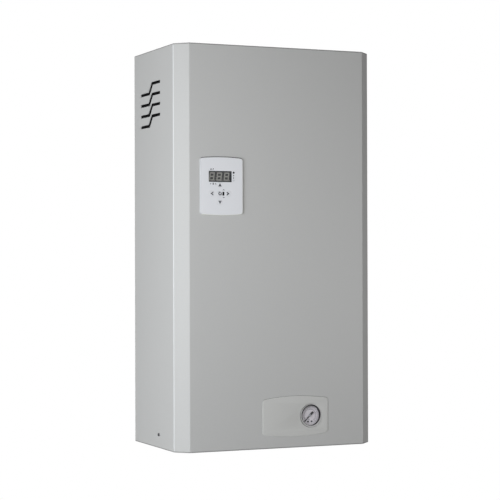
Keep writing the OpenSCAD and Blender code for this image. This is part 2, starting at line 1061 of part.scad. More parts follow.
module tank_clamps() {
  inner = jacket_r + run_gap;
  from_bolts() color("lightgray")
    for (k = clamp_share)
      translate([tank_x, -water_y, tank_z + k * tank_h - clamp_h / 2]) difference() {
        union() {
          cylinder(r = inner + clamp_t, h = clamp_h);
          both() {
            block(
              [clamp_leg_x, 0, 0],
              [clamp_leg_x + clamp_t, water_y - back_front_y, clamp_h]
            );
            block(
              [clamp_leg_x, water_y - back_front_y - clamp_t, 0],
              [clamp_leg_x + clamp_foot_w, water_y - back_front_y, clamp_h]
            );
            }
        }
        drill(inner, 0, clamp_h);
      }
}

module flange_gasket() {
  from_bolts() color("firebrick")
    translate([tank_x, -water_y, tank_top + flange_t]) difference() {
      tube(flange_r, tank_r - tank_t, gasket_t);
      translate([0, 0, -overrun]) flange_holes(gasket_t + 2 * overrun);
    }
}

// The two ends of each heating element, seen from above
module element_ends(r, h) {
  for (i = [0:element_count - 1], s = [-1, 1])
    rotate(360 * i / element_count)
      translate([element_ring, s * element_leg, 0]) cylinder(r = r, h = h);
}

module heater_plate() {
  from_bolts() color("gainsboro") translate([tank_x, -water_y, seat_z]) difference() {
    cylinder(r = flange_r, h = heater_plate_t);
    translate([0, 0, -overrun]) {
      flange_holes(heater_plate_t + 2 * overrun);
      element_ends(element_r + run_gap, heater_plate_t + 2 * overrun);
    }
  }
}

module heating_elements() {
  top = seat_z + heater_plate_t + element_stub;
  low = tank_z + element_rise;
  from_bolts() color("darkgray") translate([tank_x, -water_y, 0]) {
    for (i = [0:element_count - 1])
      rotate(360 * i / element_count) pipe_run(
        [
          [element_ring, -element_leg, top], [element_ring, -element_leg, low],
          [element_ring, element_leg, low], [element_ring, element_leg, top]
        ],
        element_r, element_bend
      );
    translate([0, 0, top - terminal_nut_h]) element_ends(terminal_r, terminal_h + terminal_nut_h);
    for (i = [0:element_count - 1], s = [-1, 1])
      rotate(360 * i / element_count)
        translate([element_ring, s * element_leg, top + terminal_nut_h])
          hexagon(terminal_nut_w, terminal_nut_h);
  }
}

module flange_bolts() {
  top = seat_z + heater_plate_t;
  low = tank_top - bolt_nut_h;
  from_bolts() color("gainsboro") translate([tank_x, -water_y, 0])
    for (i = [0:flange_bolts_n - 1])
      rotate(360 * i / flange_bolts_n) translate([flange_bolt_r, 0, 0]) {
        bar(bolt_r, low - bolt_r, top - low + bolt_r + bolt_head_h / 2);
        hexagon(bolt_head_w, bolt_head_h, top);
        hexagon(bolt_head_w, bolt_nut_h, low);
      }
}

// Pipework
module water_stubs() {
  from_bolts() color("goldenrod")
    for (p = stub_places)
      translate(p) {
        difference() {
          union() {
            bar(stub_d / 2, stub_z, floor_z - stub_z);
            bar(stub_shoulder_r, stub_shoulder_z, floor_z - stub_shoulder_z + overrun);
            hexagon(stub_hex_w, stub_hex_h, floor_z);
            bar(pipe_r + socket_t, floor_z, stub_top - floor_z);
          }
          drill(stub_bore_r, stub_z, stub_top - stub_z);
          bar(pipe_r + run_gap, stub_top - stub_socket_h, stub_socket_h + overrun);
        }
        translate([0, 0, base_z - stub_nut_h])
          hex_nut(stub_nut_w, stub_shoulder_r + run_gap, stub_nut_h);
      }
}

module supply_pipe() {
  low = stub_top - stub_socket_h;
  tee_top = outlet_z + tee_half;
  to_tank = norm([supply_from_tank, water_y - supply_y]) - tank_r - socket_reach + socket_depth;
  from_bolts() color("peru") translate([supply_x, -supply_y, 0]) difference() {
    union() {
      bar(pipe_r, low, outlet_z - low);
      bar(tee_r, outlet_z - tee_half, 2 * tee_half);
      translate([0, 0, outlet_z]) rotate([0, -90, supply_turn]) {
        cylinder(r = tee_r, h = tee_reach);
        cylinder(r = pipe_r, h = to_tank);
      }
      facing_front([0, 0, valve_z]) cylinder(r = valve_neck_r + pipe_t / 2, h = valve_reach);
    }
    drill(pipe_r - pipe_t, low, tee_top - low);
    translate([0, 0, outlet_z])
      rotate([0, -90, supply_turn]) cylinder(r = pipe_r - pipe_t, h = to_tank + overrun);
    facing_front([0, 0, valve_z]) cylinder(r = valve_bore_r, h = valve_reach + overrun);
  }
}

module return_pipe() {
  low = stub_top - stub_socket_h;
  from_bolts() color("peru") translate([pump_x, -water_y, 0]) difference() {
    union() {
      bar(pipe_r, low, port_low_z - low);
      bar(collar_r, port_low_z - collar_t, collar_t);
      bar(join_r, join_z - join_half, 2 * join_half);
      facing_front([0, join_r + join_reach, join_z])
        cylinder(r = vessel_pipe_r + socket_t, h = join_r + join_reach);
      facing_front([0, 0, join_z]) cylinder(r = 4 * capillary_r, h = join_r + join_reach);
    }
    drill(pipe_r - pipe_t, low, port_low_z - low);
    facing_front([0, join_r + join_reach + overrun, join_z])
      cylinder(r = vessel_pipe_r + run_gap, h = join_r + join_reach);
    facing_front([0, 0, join_z])
      cylinder(r = capillary_r + run_gap, h = join_r + join_reach + overrun);
  }
}

module pump_pipe() {
  route = [
    [pump_x, -water_y, port_top_z], [pump_x, -water_y, inlet_z],
    [tank_x + tank_r + socket_reach - socket_depth, -water_y, inlet_z]
  ];
  from_bolts() color("peru") difference() {
    union() {
      pipe_run(route, pipe_r, bend_r);
      translate(route[0]) cylinder(r = collar_r, h = collar_t);
    }
    pipe_run(drawn_out(route), pipe_r - pipe_t, bend_r);
  }
}

module union_nut() {
  h = port_thread_h + collar_t + nut_lip;
  difference() {
    hexagon(nut_w, h);
    bar(port_thread_r + run_gap, -overrun, h - nut_lip + overrun);
    cylinder(r = pipe_r + gap, h = h + overrun);
  }
}

module union_nuts() {
  from_bolts() color("goldenrod") translate([pump_x, -water_y, 0]) {
    translate([0, 0, port_top_z - port_thread_h]) union_nut();
    translate([0, 0, port_low_z + port_thread_h]) mirror([0, 0, 1]) union_nut();
  }
}

module air_vent() {
  foot_z = outlet_z + tee_half;
  body_z = foot_z + vent_foot_h;
  top = body_z + vent_h;
  from_bolts() color("goldenrod") translate([supply_x, -supply_y, 0]) {
    hexagon(vent_foot_w, vent_foot_h, foot_z);
    rotate_extrude() polygon([
      [0, foot_z], [vent_r - vent_shoulder, foot_z], [vent_r - vent_shoulder, body_z],
      [vent_r, body_z + vent_shoulder],
      [vent_r, top - vent_shoulder], [vent_r - vent_shoulder, top],
      [vent_neck_r, top], [vent_neck_r, top + vent_neck_h], [0, top + vent_neck_h]
    ]);
  }
}

module vent_cap() {
  low = vent_top + gap;
  from_bolts() color("dimgray") translate([supply_x, -supply_y, low]) difference() {
    cylinder(r = cap_r, h = cap_h + cap_wall);
    bar(vent_neck_r + gap, -overrun, cap_h + overrun);
    for (i = [0:11])
      rotate(30 * i) translate([cap_r, 0, 1.5 * cap_wall]) cylinder(r = cap_wall / 2, h = cap_h);
  }
}

module safety_valve() {
  from_bolts() color("goldenrod") facing_front([supply_x, -supply_y, valve_z]) difference() {
    union() {
      bar(valve_r, valve_reach, valve_h);
      hexagon(2 * valve_r, valve_neck_r, valve_reach);
      bar(valve_neck_r, valve_reach + valve_h, valve_neck_h);
      bar(valve_stem_r, valve_reach + valve_h, valve_neck_h + valve_stem_h);
      translate([0, 0, valve_outlet_y - supply_y]) rotate([90, 0, 0]) {
        cylinder(r = valve_drain_r, h = valve_z - stub_z);
        bar(valve_outlet_r, valve_z - stub_z - valve_tail_h, valve_tail_h);
      }
    }
    bar(valve_bore_r, valve_reach - overrun, valve_h - valve_neck_r + overrun);
    translate([0, 0, valve_outlet_y - supply_y])
      rotate([90, 0, 0]) cylinder(r = valve_outlet_bore_r, h = valve_z - stub_z + overrun);
  }
}

module safety_valve_knob() {
  low = valve_reach + valve_h + valve_neck_h + gap;
  from_bolts() color("red")
    facing_front([supply_x, -supply_y, valve_z]) translate([0, 0, low]) difference() {
      cylinder(r = valve_knob_r, h = valve_knob_h);
      bar(valve_stem_r + run_gap, -overrun, valve_stem_h + overrun);
      for (i = [0:valve_knob_flutes - 1])
        rotate(360 * i / valve_knob_flutes)
          translate([valve_knob_r + valve_flute_r / 2, 0, -overrun])
            cylinder(r = valve_flute_r, h = valve_knob_h + 2 * overrun);
    }
}

module flow_sensor() {
  from_bolts() color("black") translate([flow_x, -water_y, inlet_z]) difference() {
    union() {
      translate([-flow_w / 2, 0, 0]) rotate([0, 90, 0]) cylinder(r = flow_r, h = flow_w);
      block(
        [-flow_box_w / 2, -flow_box_w / 2, -flow_r - flow_box_h],
        [flow_box_w / 2, flow_box_w / 2, 0]
      );
    }
    translate([-flow_w / 2 - overrun, 0, 0])
      rotate([0, 90, 0]) cylinder(r = pipe_r + run_gap, h = flow_w + 2 * overrun);
  }
}

// Pump, drawn with its shaft along Z and its face to the front
module at_pump() {
  from_bolts() facing_front([pump_x, -water_y, pump_z]) children();
}

// Outline of the spiral housing, which widens once round towards the upper port
function spiral(r) =
  [for (i = [0:volute_steps - 1])
    let (a = 90 + 360 * i / volute_steps)
    (r + volute_growth * i / volute_steps) * [cos(a), sin(a)]];

module pump_housing() {
  half = pump_span / 2;
  room_z = volute_front - wheel_room;
  at_pump() color("dimgray") difference() {
    union() {
      slab(-volute_back, volute_back + volute_front) polygon(spiral(volute_r));
      for (s = [0, 1])
        mirror([0, s, 0]) rotate([-90, 0, 0]) {
          cylinder(r = port_r, h = half);
          bar(port_thread_r, half - port_thread_h, port_thread_h);
        }
    }
    slab(room_z, wheel_room + overrun) polygon(spiral(volute_r - volute_wall));
    bar(eye_r, room_z - eye_depth, eye_depth + overrun);
    rotate([90, 0, 0]) cylinder(r = port_bore_r, h = half + overrun);
    translate([0, half + overrun, 0])
      rotate([90, 0, 0]) cylinder(r = port_bore_r, h = half - eye_r);
    translate([0, half - port_thread_h, 0]) rotate([90 - outlet_slant, 0, 0])
      cylinder(r = port_bore_r - pipe_t, h = half - port_thread_h - eye_r);
  }
}

module pump_motor() {
  top = volute_front + motor_h;
  seat = shaft_r + run_gap;
  room_low = volute_front + 2 * bearing_h;
  room_top = room_low + rotor_h + 2 * rotor_gap;
  at_pump() color("gray") rotate_extrude() polygon([
    [seat, volute_front], [motor_flange_r, volute_front],
    [motor_flange_r, volute_front + motor_flange_t], [motor_r, volute_front + motor_flange_t],
    [motor_r, top - motor_chamfer], [motor_r - motor_chamfer, top], [0, top],
    [0, room_top + bearing_h], [seat, room_top + bearing_h], [seat, room_top],
    [rotor_r + rotor_gap, room_top], [rotor_r + rotor_gap, room_low], [seat, room_low]
  ]);
}

// One swept blade from near the eye to the rim
module blade(h) {
  translate([blade_in_r + blade_bow_r * cos(blade_lean), blade_bow_r * sin(blade_lean), 0])
    rotate(180 + blade_lean - blade_turn) rotate_extrude(angle = blade_turn)
      translate([blade_bow_r - blade_t / 2, 0]) square([blade_t, h]);
}

module pump_rotor() {
  low = volute_front - wheel_room + wheel_gap;
  wheel_h = wheel_room - 2 * wheel_gap;
  drum_z = volute_front + 2 * bearing_h + rotor_gap;
  at_pump() color("silver") {
    translate([0, 0, low]) {
      tube(wheel_r, eye_r, wheel_plate_t);
      for (i = [0:blade_count - 1])
        rotate(360 * i / blade_count)
          translate([0, 0, wheel_plate_t / 2]) blade(wheel_h - wheel_plate_t);
      bar(wheel_r, wheel_h - wheel_plate_t, wheel_plate_t);
      bar(wheel_hub_r, wheel_plate_t, wheel_h - wheel_plate_t);
    }
    bar(shaft_r, low + wheel_h / 2, drum_z + rotor_h + rotor_gap + bearing_h - gap - low - wheel_h / 2);
    bar(rotor_r, drum_z, rotor_h);
    }
}

module pump_box() {
  low = volute_front + motor_h;
  at_pump() color("black") difference() {
    translate([0, 0, low]) soft_plate(box_w, box_h, 0, box_corner, box_d, box_edge);
    translate([knob_shift, 0, low + box_d - knob_stem_h])
      cylinder(r = knob_stem_r + run_gap, h = knob_stem_h + overrun);
  }
}

module pump_speed_knob() {
  low = volute_front + motor_h + box_d;
  at_pump() color("silver") translate([knob_shift, 0, low]) {
    bar(knob_stem_r, gap - knob_stem_h, knob_stem_h);
    difference() {
      bar(knob_r, gap, knob_h);
      both()
        block(
          [knob_grip_w / 2, -knob_r - overrun, knob_h / 2],
          [knob_r + overrun, knob_r + overrun, knob_h + overrun]
        );
    }
  }
}

// Expansion vessel
module vessel_shell() {
  edges = [[0, 0.02], [0.62, 0.02], [0.9, 0.16], [1, 0.4]];
  hull()
    for (e = edges)
      slab(e[0] * (vessel_d / 2 - slice_t), slice_t) polygon(box_points(
          vessel_w - 2 * e[1] * vessel_corner, vessel_h - 2 * e[1] * vessel_corner,
          vessel_corner * (1 - e[1]), 2
        ));
}

module expansion_vessel() {
  from_bolts() color("firebrick") {
    facing_front([vessel_x, -vessel_y, vessel_z]) {
      vessel_shell();
      mirror([0, 0, 1]) vessel_shell();
      slab(-vessel_rim_t / 2, vessel_rim_t) box_plan(vessel_w, vessel_h, vessel_corner);
    }
    translate([vessel_pipe_x, -vessel_y, vessel_z - vessel_h / 2 - vessel_nipple_h])
      cylinder(r = vessel_pipe_r + socket_t, h = vessel_nipple_h + vessel_rim_t);
    }
}

module vessel_pipe() {
  start_z = vessel_z - vessel_h / 2 - vessel_nipple_h;
  from_bolts() color("peru") hollow_run(
    [
      [vessel_pipe_x, -vessel_y, start_z], [vessel_pipe_x, -vessel_y, join_z],
      [pump_x, -vessel_y, join_z], [pump_x, -water_y + join_r, join_z]
    ],
    vessel_pipe_r, vessel_pipe_r - pipe_t, vessel_pipe_bend
  );
}

module vessel_straps() {
  side = vessel_w / 2 + gap;
  front = -vessel_back_y - vessel_d - gap;
  from_bolts() color("lightgray")
    for (z = [vessel_z - strap_rise, vessel_z + strap_rise])
      translate([vessel_x, 0, z - strap_h / 2]) linear_extrude(strap_h) folded(
        [
          [-side - strap_foot, -back_front_y], [-side, -back_front_y],
          [-side, front], [side, front],
          [side, -back_front_y], [side + strap_foot, -back_front_y]
        ],
        -strap_t
      );
}

// Gauge, drawn with Z out of the front and its zero in the plane of the front sheet
module at_gauge() {
  from_bolts() facing_front([gauge_x, -case_d, badge_rise]) children();
}

module gauge_bracket() {
  face_y = case_d - gauge_collar_drop;
  from_bolts() color("lightgray") difference() {
    translate([gauge_x, 0, 0]) across(stand_w) folded(
      eased(
        [
          [stand_foot - face_y, floor_z], [-face_y, floor_z],
          [-face_y, badge_rise + stand_above]
        ],
        stand_fold
      ),
      -stand_t
    );
    facing_front([gauge_x, stand_foot - face_y, badge_rise])
      cylinder(r = can_r + gap, h = 2 * stand_foot);
  }
}

module gauge_case() {
  low = can_front - can_h;
  bore = pointer_post_r + run_gap;
  post_top = dial_z - dial_t;
  at_gauge() color("dimgray") {
    rotate_extrude() polygon([
      [0, low], [can_r, low],
      [can_r, -gauge_collar_drop], [gauge_collar_r, -gauge_collar_drop],
      [gauge_collar_r, gauge_collar_t - gauge_collar_drop], [can_r, gauge_collar_t - gauge_collar_drop],
      [can_r, can_front], [can_r - can_t, can_front], [can_r - can_t, can_front - lens_t],
      [dial_r, can_front - lens_t], [dial_r, low + can_t],
      [post_r, low + can_t], [post_r, post_top], [bore, post_top],
      [bore, low + 2 * can_t], [0, low + 2 * can_t]
    ]);
    hexagon(stem_w, stem_h, low - stem_h);
    }
}

module gauge_dial() {
  at_gauge() color("lavender")
    translate([0, 0, dial_z - dial_t]) tube(dial_r - run_gap, dial_hole_r, dial_t);
}

module gauge_pointer() {
  face = can_front - pointer_drop;
  low = can_front - can_h + 3 * can_t;
  at_gauge() color("black") rotate(pointer_zero) {
    slab(face - pointer_t, pointer_t) polygon([
      [pointer_reach, -pointer_w / 4], [pointer_reach, pointer_w / 4],
      [0, pointer_w], [-pointer_tail, pointer_tail_w / 2],
      [-pointer_tail, -pointer_tail_w / 2], [0, -pointer_w]
    ]);
    bar(pointer_hub_r, face - 1.5 * pointer_t, 2 * pointer_t);
    bar(pointer_post_r, low, face - low);
  }
}

module gauge_lens() {
  at_gauge() color("white", 0.3)
    bar(can_r - can_t - run_gap, can_front - lens_t, lens_t);
}

module gauge_bezel() {
  inner = can_r + run_gap;
  low = ring_front - ring_h;
  at_gauge() color("silver") rotate_extrude() polygon([
    [inner, low], [gauge_r, low], [gauge_r, ring_front - ring_round],
    each arc([gauge_r - ring_round, ring_front - ring_round], ring_round, 0, 90, 4),
    [gauge_r - ring_lip / 2, ring_front], [gauge_r - ring_lip, can_front], [inner, can_front]
  ]);
}

module gauge_capillary() {
  back_y = -case_d - can_front + can_h + stem_h;
  end_y = -water_y - join_r - join_reach;
  loop_x = gauge_x - capillary_loop;
  from_bolts() color("peru") pipe_run(
    [
      [gauge_x, back_y, badge_rise], [gauge_x, -capillary_y, badge_rise],
      [gauge_x, -capillary_y, capillary_z], [loop_x, -capillary_y, capillary_z],
      [loop_x, end_y - capillary_run, capillary_z], [pump_x, end_y - capillary_run, capillary_z],
      [pump_x, end_y - capillary_run, join_z], [pump_x, end_y, join_z]
    ],
    capillary_r, capillary_bend
  );
}

// Electrics
module electrics_tray() {
  top = tray_z + tray_h;
  slot_half = tray_slot_w / 2;
  from_bolts() color("lightgray") difference() {
    union() {
      slab(tray_z, tray_h)
        folded([[tray_left, -tray_y], [tray_right, -tray_y]], -tray_t);
      for (z = [tray_z, top - tray_leg_h])
        slab(z, tray_leg_h)
          folded(
            [
              [tray_left + tray_foot, -back_front_y], [tray_left, -back_front_y],
              [tray_left, -tray_y - tray_t], [tray_right, -tray_y - tray_t],
              [tray_right, -back_front_y], [tray_right - tray_foot, -back_front_y]
            ],
            tray_t
          );
      for (z = [tray_z, top - tray_t])
        block([tray_left, -tray_y - tray_lip, z], [tray_right, -tray_y, z + tray_t]);
    }
    for (x = [tray_left + tray_slot_inset, tray_right - tray_slot_inset])
      facing_front([x, overrun - tray_y, tray_z + tray_slot_share * tray_h])
        linear_extrude(tray_t + 2 * overrun)
          box_plan(tray_slot_w, tray_slot_h, 0.9 * slot_half);
  }
}

// A point on the tray's face: X and height as given, Z out of the front
module on_tray(x, z) {
  from_bolts() facing_front([x, -tray_y - tray_t, z]) children();
}

module main_board() {
  on_tray(board_x, board_z) color("seagreen") {
    translate([0, 0, board_stand]) cube([board_w, board_h, board_t]);
    for (x = [board_inset, board_w - board_inset], y = [board_inset, board_h - board_inset])
      translate([x, y, 0]) cylinder(r = spacer_r, h = board_stand + board_t / 2);
    }
}

module board_parts() {
  row = board_inset + plug_h + board_inset;
  column = board_inset + relay_w / 2;
  upper = row + relay_h + 2 * board_inset;
  on_tray(board_x, board_z) translate([0, 0, board_stand + board_t])
    color("dimgray") {
      for (i = [0:relay_count - 1])
        translate([column + i * relay_pitch, row + relay_h / 2, 0])
          linear_extrude(relay_d) box_plan(relay_w, relay_h, board_t / 2);
      translate([(board_w - plug_w) / 2, board_inset / 2, 0]) cube([plug_w, plug_h, plug_d]);
      translate([(board_w - plug_w) / 2, board_h - board_inset / 2 - plug_h, 0])
        cube([plug_w, plug_h, plug_d]);
      for (i = [0:2])
        translate([board_w - column, upper + can_cap_r + 2.5 * i * can_cap_r, 0])
          cylinder(r = can_cap_r, h = can_cap_h);
      translate([column, upper, 0]) cube([core_w, core_h, core_d]);
      translate([column, upper + core_h + relay_w, 0]) cube([chip_w, chip_h, chip_d]);
    }
}

module contactor() {
  head = contactor_d + contactor_head_d;
  on_tray(contactor_x, contactor_z) color("darkslategray") difference() {
    union() {
      brick(contactor_w, contactor_h, 0, contactor_d);
      brick(contactor_head_w, contactor_head_h, 0, head);
    }
    brick(
      armature_w + 2 * gap, armature_h + 2 * gap,
      head - armature_room, armature_room + overrun
    );
    for (i = [-1:1], s = [-1, 1])
      translate([
        i * contact_pitch, s * (contactor_h + contactor_head_h) / 4,
        contactor_d - contact_h
      ])
        cylinder(r = contact_r, h = contact_h + overrun);
  }
}

module contactor_armature() {
  head = contactor_d + contactor_head_d;
  on_tray(contactor_x, contactor_z) color("lightgray")
    brick(
      armature_w, armature_h, head - armature_room + armature_travel + gap,
      armature_room - armature_travel - gap + armature_out
    );
}

module power_cooler() {
  pitch = (cooler_w - fin_t) / (fin_count - 1);
  on_tray(cooler_x, cooler_z) color("silver") {
    for (i = [0:fin_count - 1])
      translate([i * pitch - cooler_w / 2, -cooler_h / 2, 0])
        cube([fin_t, cooler_h, cooler_d - cooler_base / 2]);
    brick(cooler_w, cooler_h, cooler_d - cooler_base, cooler_base);
    for (i = [-1:1])
      translate([i * (cooler_w / 3) - switch_w / 2, -switch_h / 2, cooler_d])
        cube([switch_w, switch_h, switch_d]);
    }
}

module terminal_block() {
  w = terminal_count * terminal_w;
  deep = terminal_block_d;
  half = terminal_block_h / 2;
  on_tray(terminal_x, terminal_z) color("beige") difference() {
    translate([w / 2, 0, 0]) rotate([0, -90, 0]) linear_extrude(w) polygon([
      [0, -half], [deep - terminal_step, -half], [deep, terminal_step - half],
      [deep, half - terminal_step], [deep - terminal_step, half], [0, half]
    ]);
    for (i = [0:terminal_count - 1])
      translate([(i + 0.5) * terminal_w - w / 2, 0, 0]) {
        bar(terminal_hole_r, deep / 2, deep);
        for (s = [-1, 1])
          translate([0, s * (half + overrun), deep / 3])
            rotate([90 * s, 0, 0]) cylinder(r = terminal_hole_r, h = half / 2 + overrun);
      }
  }
}

module safety_thermostat() {
  mid_y = -tray_y - tray_t - thermostat_h / 2;
  front_y = -water_y - jacket_r - capillary_off;
  from_bolts() color("tan") pipe_run(
    [
      [thermostat_x, mid_y, thermostat_z - 0.9 * thermostat_r], [thermostat_x, mid_y, capillary_low_z],
      [capillary_x, mid_y, capillary_low_z], [capillary_x, mid_y, sensor_z],
      [capillary_x, front_y, sensor_z], [tank_x, front_y, sensor_z],
      [tank_x, -water_y - tank_r - sensor_reach, sensor_z]
    ],
    0.8 * capillary_r, capillary_bend
  );
  from_bolts() color("tan")
    facing_front([tank_x, -water_y - tank_r, sensor_z]) cylinder(r = bulb_r, h = sensor_reach);
  on_tray(thermostat_x, thermostat_z) color("tan") difference() {
    union() {
      cylinder(r = thermostat_r, h = thermostat_h);
      linear_extrude(thermostat_plate_t)
        box_plan(thermostat_plate_w, thermostat_plate_h, spacer_r);
      cylinder(r = reset_collar_r, h = thermostat_h + reset_collar_h);
    }
    bar(reset_r + run_gap, thermostat_h + reset_collar_h - reset_room, reset_room + overrun);
  }
}

module thermostat_reset() {
  low = thermostat_h + reset_collar_h - reset_room + reset_travel + gap;
  on_tray(thermostat_x, thermostat_z) color("red")
    bar(reset_r, low, thermostat_h + reset_collar_h + reset_out - low);
}

module cable_glands() {
  dome_low = base_z - gland_hex_h - gland_dome_h;
  from_bolts() color("dimgray")
    for (p = gland_places)
      translate(p) difference() {
        union() {
          rotate_extrude() polygon([
            [0, dome_low], [0.75 * gland_dome_r, dome_low],
            [gland_dome_r, dome_low + 0.4 * gland_dome_r],
            [gland_dome_r, base_z - gland_hex_h / 2], [0, base_z - gland_hex_h / 2]
          ]);
          hexagon(gland_hex_w, gland_hex_h, base_z - gland_hex_h);
          bar(gland_thread_r, base_z - gland_hex_h / 2, floor_z + gland_top_h - base_z + gland_hex_h / 2);
          hexagon(gland_nut_w, gland_nut_h, floor_z);
        }
        drill(gland_bore_d / 2, dome_low, floor_z + gland_top_h - dome_low);
      }
}

// Cover with everything it carries
function slot_points() =
  let (
    a = slot_rear,
    b = a + slot_rear_w,
    c = b + slot_slant_w,
    d = c + slot_front_w,
    half = slot_w / 2,
    k = half * tan(atan2(slot_rise, slot_slant_w) / 2)
  )
  [
    [a, -half], [b + k, -half], [c + k, slot_rise - half], [d, slot_rise - half],
    [d, slot_rise + half], [c - k, slot_rise + half], [b - k, half], [a, half]
  ];

module vent_slots() {
  for (i = [0:slot_count - 1])
    translate([case_w / 2 + overrun, 0, case_h - slot_drop - slot_rise - i * slot_pitch])
      rotate([90, 0, -90]) linear_extrude(case_w + 2 * overrun)
        polygon(rounded(slot_points(), [for (k = slot_ends) k * slot_end_r], 3));
}

module cover() {
  from_bolts() color("silver") difference() {
    union() {
      linear_extrude(case_h) difference() {
        case_plan(0, wall_gap);
        case_plan(sheet_t, wall_gap - overrun);
      }
      slab(case_h - sheet_t, sheet_t) case_plan(0, wall_gap);
      linear_extrude(sheet_t) difference() {
        case_plan(0, wall_gap);
        case_plan(return_w, wall_gap - overrun);
      }
    }
    vent_slots();
    facing_front([panel_x, overrun - case_d, panel_z]) slab(-sheet_t, sheet_t + 2 * overrun)
      box_plan(skirt_w + 2 * skirt_play, skirt_h + 2 * skirt_play, panel_corner);
    facing_front([gauge_x, sheet_t + overrun - case_d, badge_rise])
      cylinder(r = gauge_r + gauge_play, h = sheet_t + 2 * overrun);
    facing_front([badge_x, sheet_t + overrun - case_d, badge_rise])
      clips(clip_r + run_gap, sheet_t + 2 * overrun);
    translate([-case_w / 2 - overrun, -screw_y, screw_z])
      rotate([0, 90, 0]) cylinder(r = screw_hole_r, h = case_w + 2 * overrun);
  }
}

module cover_screws() {
  nut_top = -sheet_t - cover_gap - base_t - gap;
  from_bolts() color("dimgray")
    for (s = [-1, 1])
      aim([s * case_w / 2, -screw_y, screw_z], [s, 0, 0], [0, 0, 1]) {
        cylinder(r1 = screw_head_r, r2 = 0.8 * screw_head_r, h = screw_head_h);
        bar(screw_r, nut_top - 2 * screw_nut_h, 2 * screw_nut_h - nut_top + screw_head_h / 2);
        brick(screw_nut_w, screw_nut_w, nut_top - screw_nut_h, screw_nut_h);
      }
}

// The lower plate's clips, two above and two below
module clips(r, h) {
  for (x = [clip_in - badge_w / 2, clip_mid], y = [clip_in - badge_h / 2, badge_h / 2 - clip_in])
    translate([x, y, 0]) cylinder(r = r, h = h);
}

module badge_plate() {
  inside = badge_raise - badge_wall;
  from_bolts() color("silver") facing_front([badge_x, -case_d, badge_rise]) {
    difference() {
      soft_plate(badge_w, badge_h, badge_bulge, badge_corner, badge_raise, badge_edge);
      difference() {
        slab(-overrun, inside + overrun)
          box_plan(badge_w - 4 * badge_edge, badge_h - 2 * badge_edge, badge_corner);
        translate([gauge_shift, 0, -2 * overrun])
          cylinder(r = gauge_r + gauge_play + badge_wall, h = inside + 3 * overrun);
      }
      translate([gauge_shift, 0, -overrun])
        cylinder(r = gauge_r + gauge_play, h = badge_raise + 2 * overrun);
    }
    translate([0, 0, -clip_l]) clips(clip_r, clip_l + inside + badge_wall / 2);
  }
}

// Control panel, drawn with Z out of the front and its zero in the plane of the front sheet
module at_panel() {
  from_bolts() facing_front([panel_x, -case_d, panel_z]) children();
}

module lights(grow, low, top) {
  for (y = [light_top, light_low])
    translate([light_x, y, low]) cylinder(r = light_r + grow, h = top - low);
  translate([keys_x + strip_shift, keys_z, low])
    translate([-strip_w / 2 - grow, -strip_l / 2 - grow, 0])
      cube([strip_w + 2 * grow, strip_l + 2 * grow, top - low]);
}

module control_bezel() {
  inside = panel_raise - panel_wall;
  at_panel() color("whitesmoke") {
    difference() {
      soft_plate(panel_w, panel_h, panel_bulge, panel_corner, panel_raise, panel_edge);
      slab(-overrun, inside + overrun)
        box_plan(skirt_w - 2 * skirt_t, skirt_h - 2 * skirt_t, panel_corner);
      translate([window_shift, window_rise, 0]) linear_extrude(panel_raise + overrun)
        box_plan(window_w + 2 * window_play, window_h + 2 * window_play, window_corner);
      for (k = key_rows)
        translate([keys_x + k[0] * keys_ring, keys_z + k[1] * keys_ring, 0])
          cylinder(r = key_d / 2 + key_play, h = panel_raise + overrun);
      lights(window_play, 0, panel_raise + overrun);
    }
    slab(-skirt_depth, skirt_depth + inside) difference() {
      box_plan(skirt_w, skirt_h, panel_corner);
      box_plan(skirt_w - 2 * skirt_t, skirt_h - 2 * skirt_t, panel_corner - skirt_t);
    }
    for (s = [0, 1], y = [-catch_rise, catch_rise])
      mirror([s, 0, 0]) translate([skirt_w / 2 - skirt_t / 2, y + catch_w / 2, 0])
        rotate([90, 0, 0]) linear_extrude(catch_w) polygon([
          [0, -sheet_t - window_play],
          [skirt_t / 2 + catch_h, -sheet_t - window_play],
          [skirt_t / 2, -sheet_t - catch_l], [0, -sheet_t - catch_l]
        ]);
    }
}

module display_window() {
  front = panel_raise - window_sink;
  back = panel_raise - panel_wall;
  at_panel() color("black") translate([window_shift, window_rise, 0]) {
    slab(back - window_flange_t, window_flange_t)
      box_plan(window_w + 2 * window_flange, window_h + 2 * window_flange, window_corner);
    slab(back - window_flange_t, front - back + window_flange_t)
      box_plan(window_w, window_h, window_corner);
  }
}

// Leans a point of a digit over to the right with its height
function leaned(p) = [p[0] + p[1] * tan(digit_lean), p[1]];

// One stroke of a digit between two of its corners, with pointed ends
module stroke(a, b) {
  d = unit(b - a);
  n = [-d[1], d[0]];
  p = a + d * stroke_gap;
  q = b - d * stroke_gap;
  half = stroke_w / 2;
  polygon([for (v = [
    p, p + (d + n) * half, q + (n - d) * half, q, q - (d + n) * half, p + (d - n) * half
  ]) leaned(v)]);
}

module digit() {
  x = (digit_w - stroke_w) / 2;
  y = (digit_h - stroke_w) / 2;
  for (v = [-y, 0, y])
    stroke([-x, v], [x, v]);
  for (u = [-x, x], v = [-y, 0])
    stroke([u, v], [u, v + y]);
  translate(leaned([digit_w / 2 + stroke_w / 2, -y])) circle(point_r);
}

module display_module() {
  at_panel() color("dimgray")
    translate([window_shift + module_shift, window_rise, module_front]) {
      brick(module_w, module_h, -module_d, module_d);
      for (i = [0:digit_count - 1])
        translate([(i - (digit_count - 1) / 2) * digit_pitch, 0, -digit_t])
          linear_extrude(2 * digit_t) digit();
    }
}

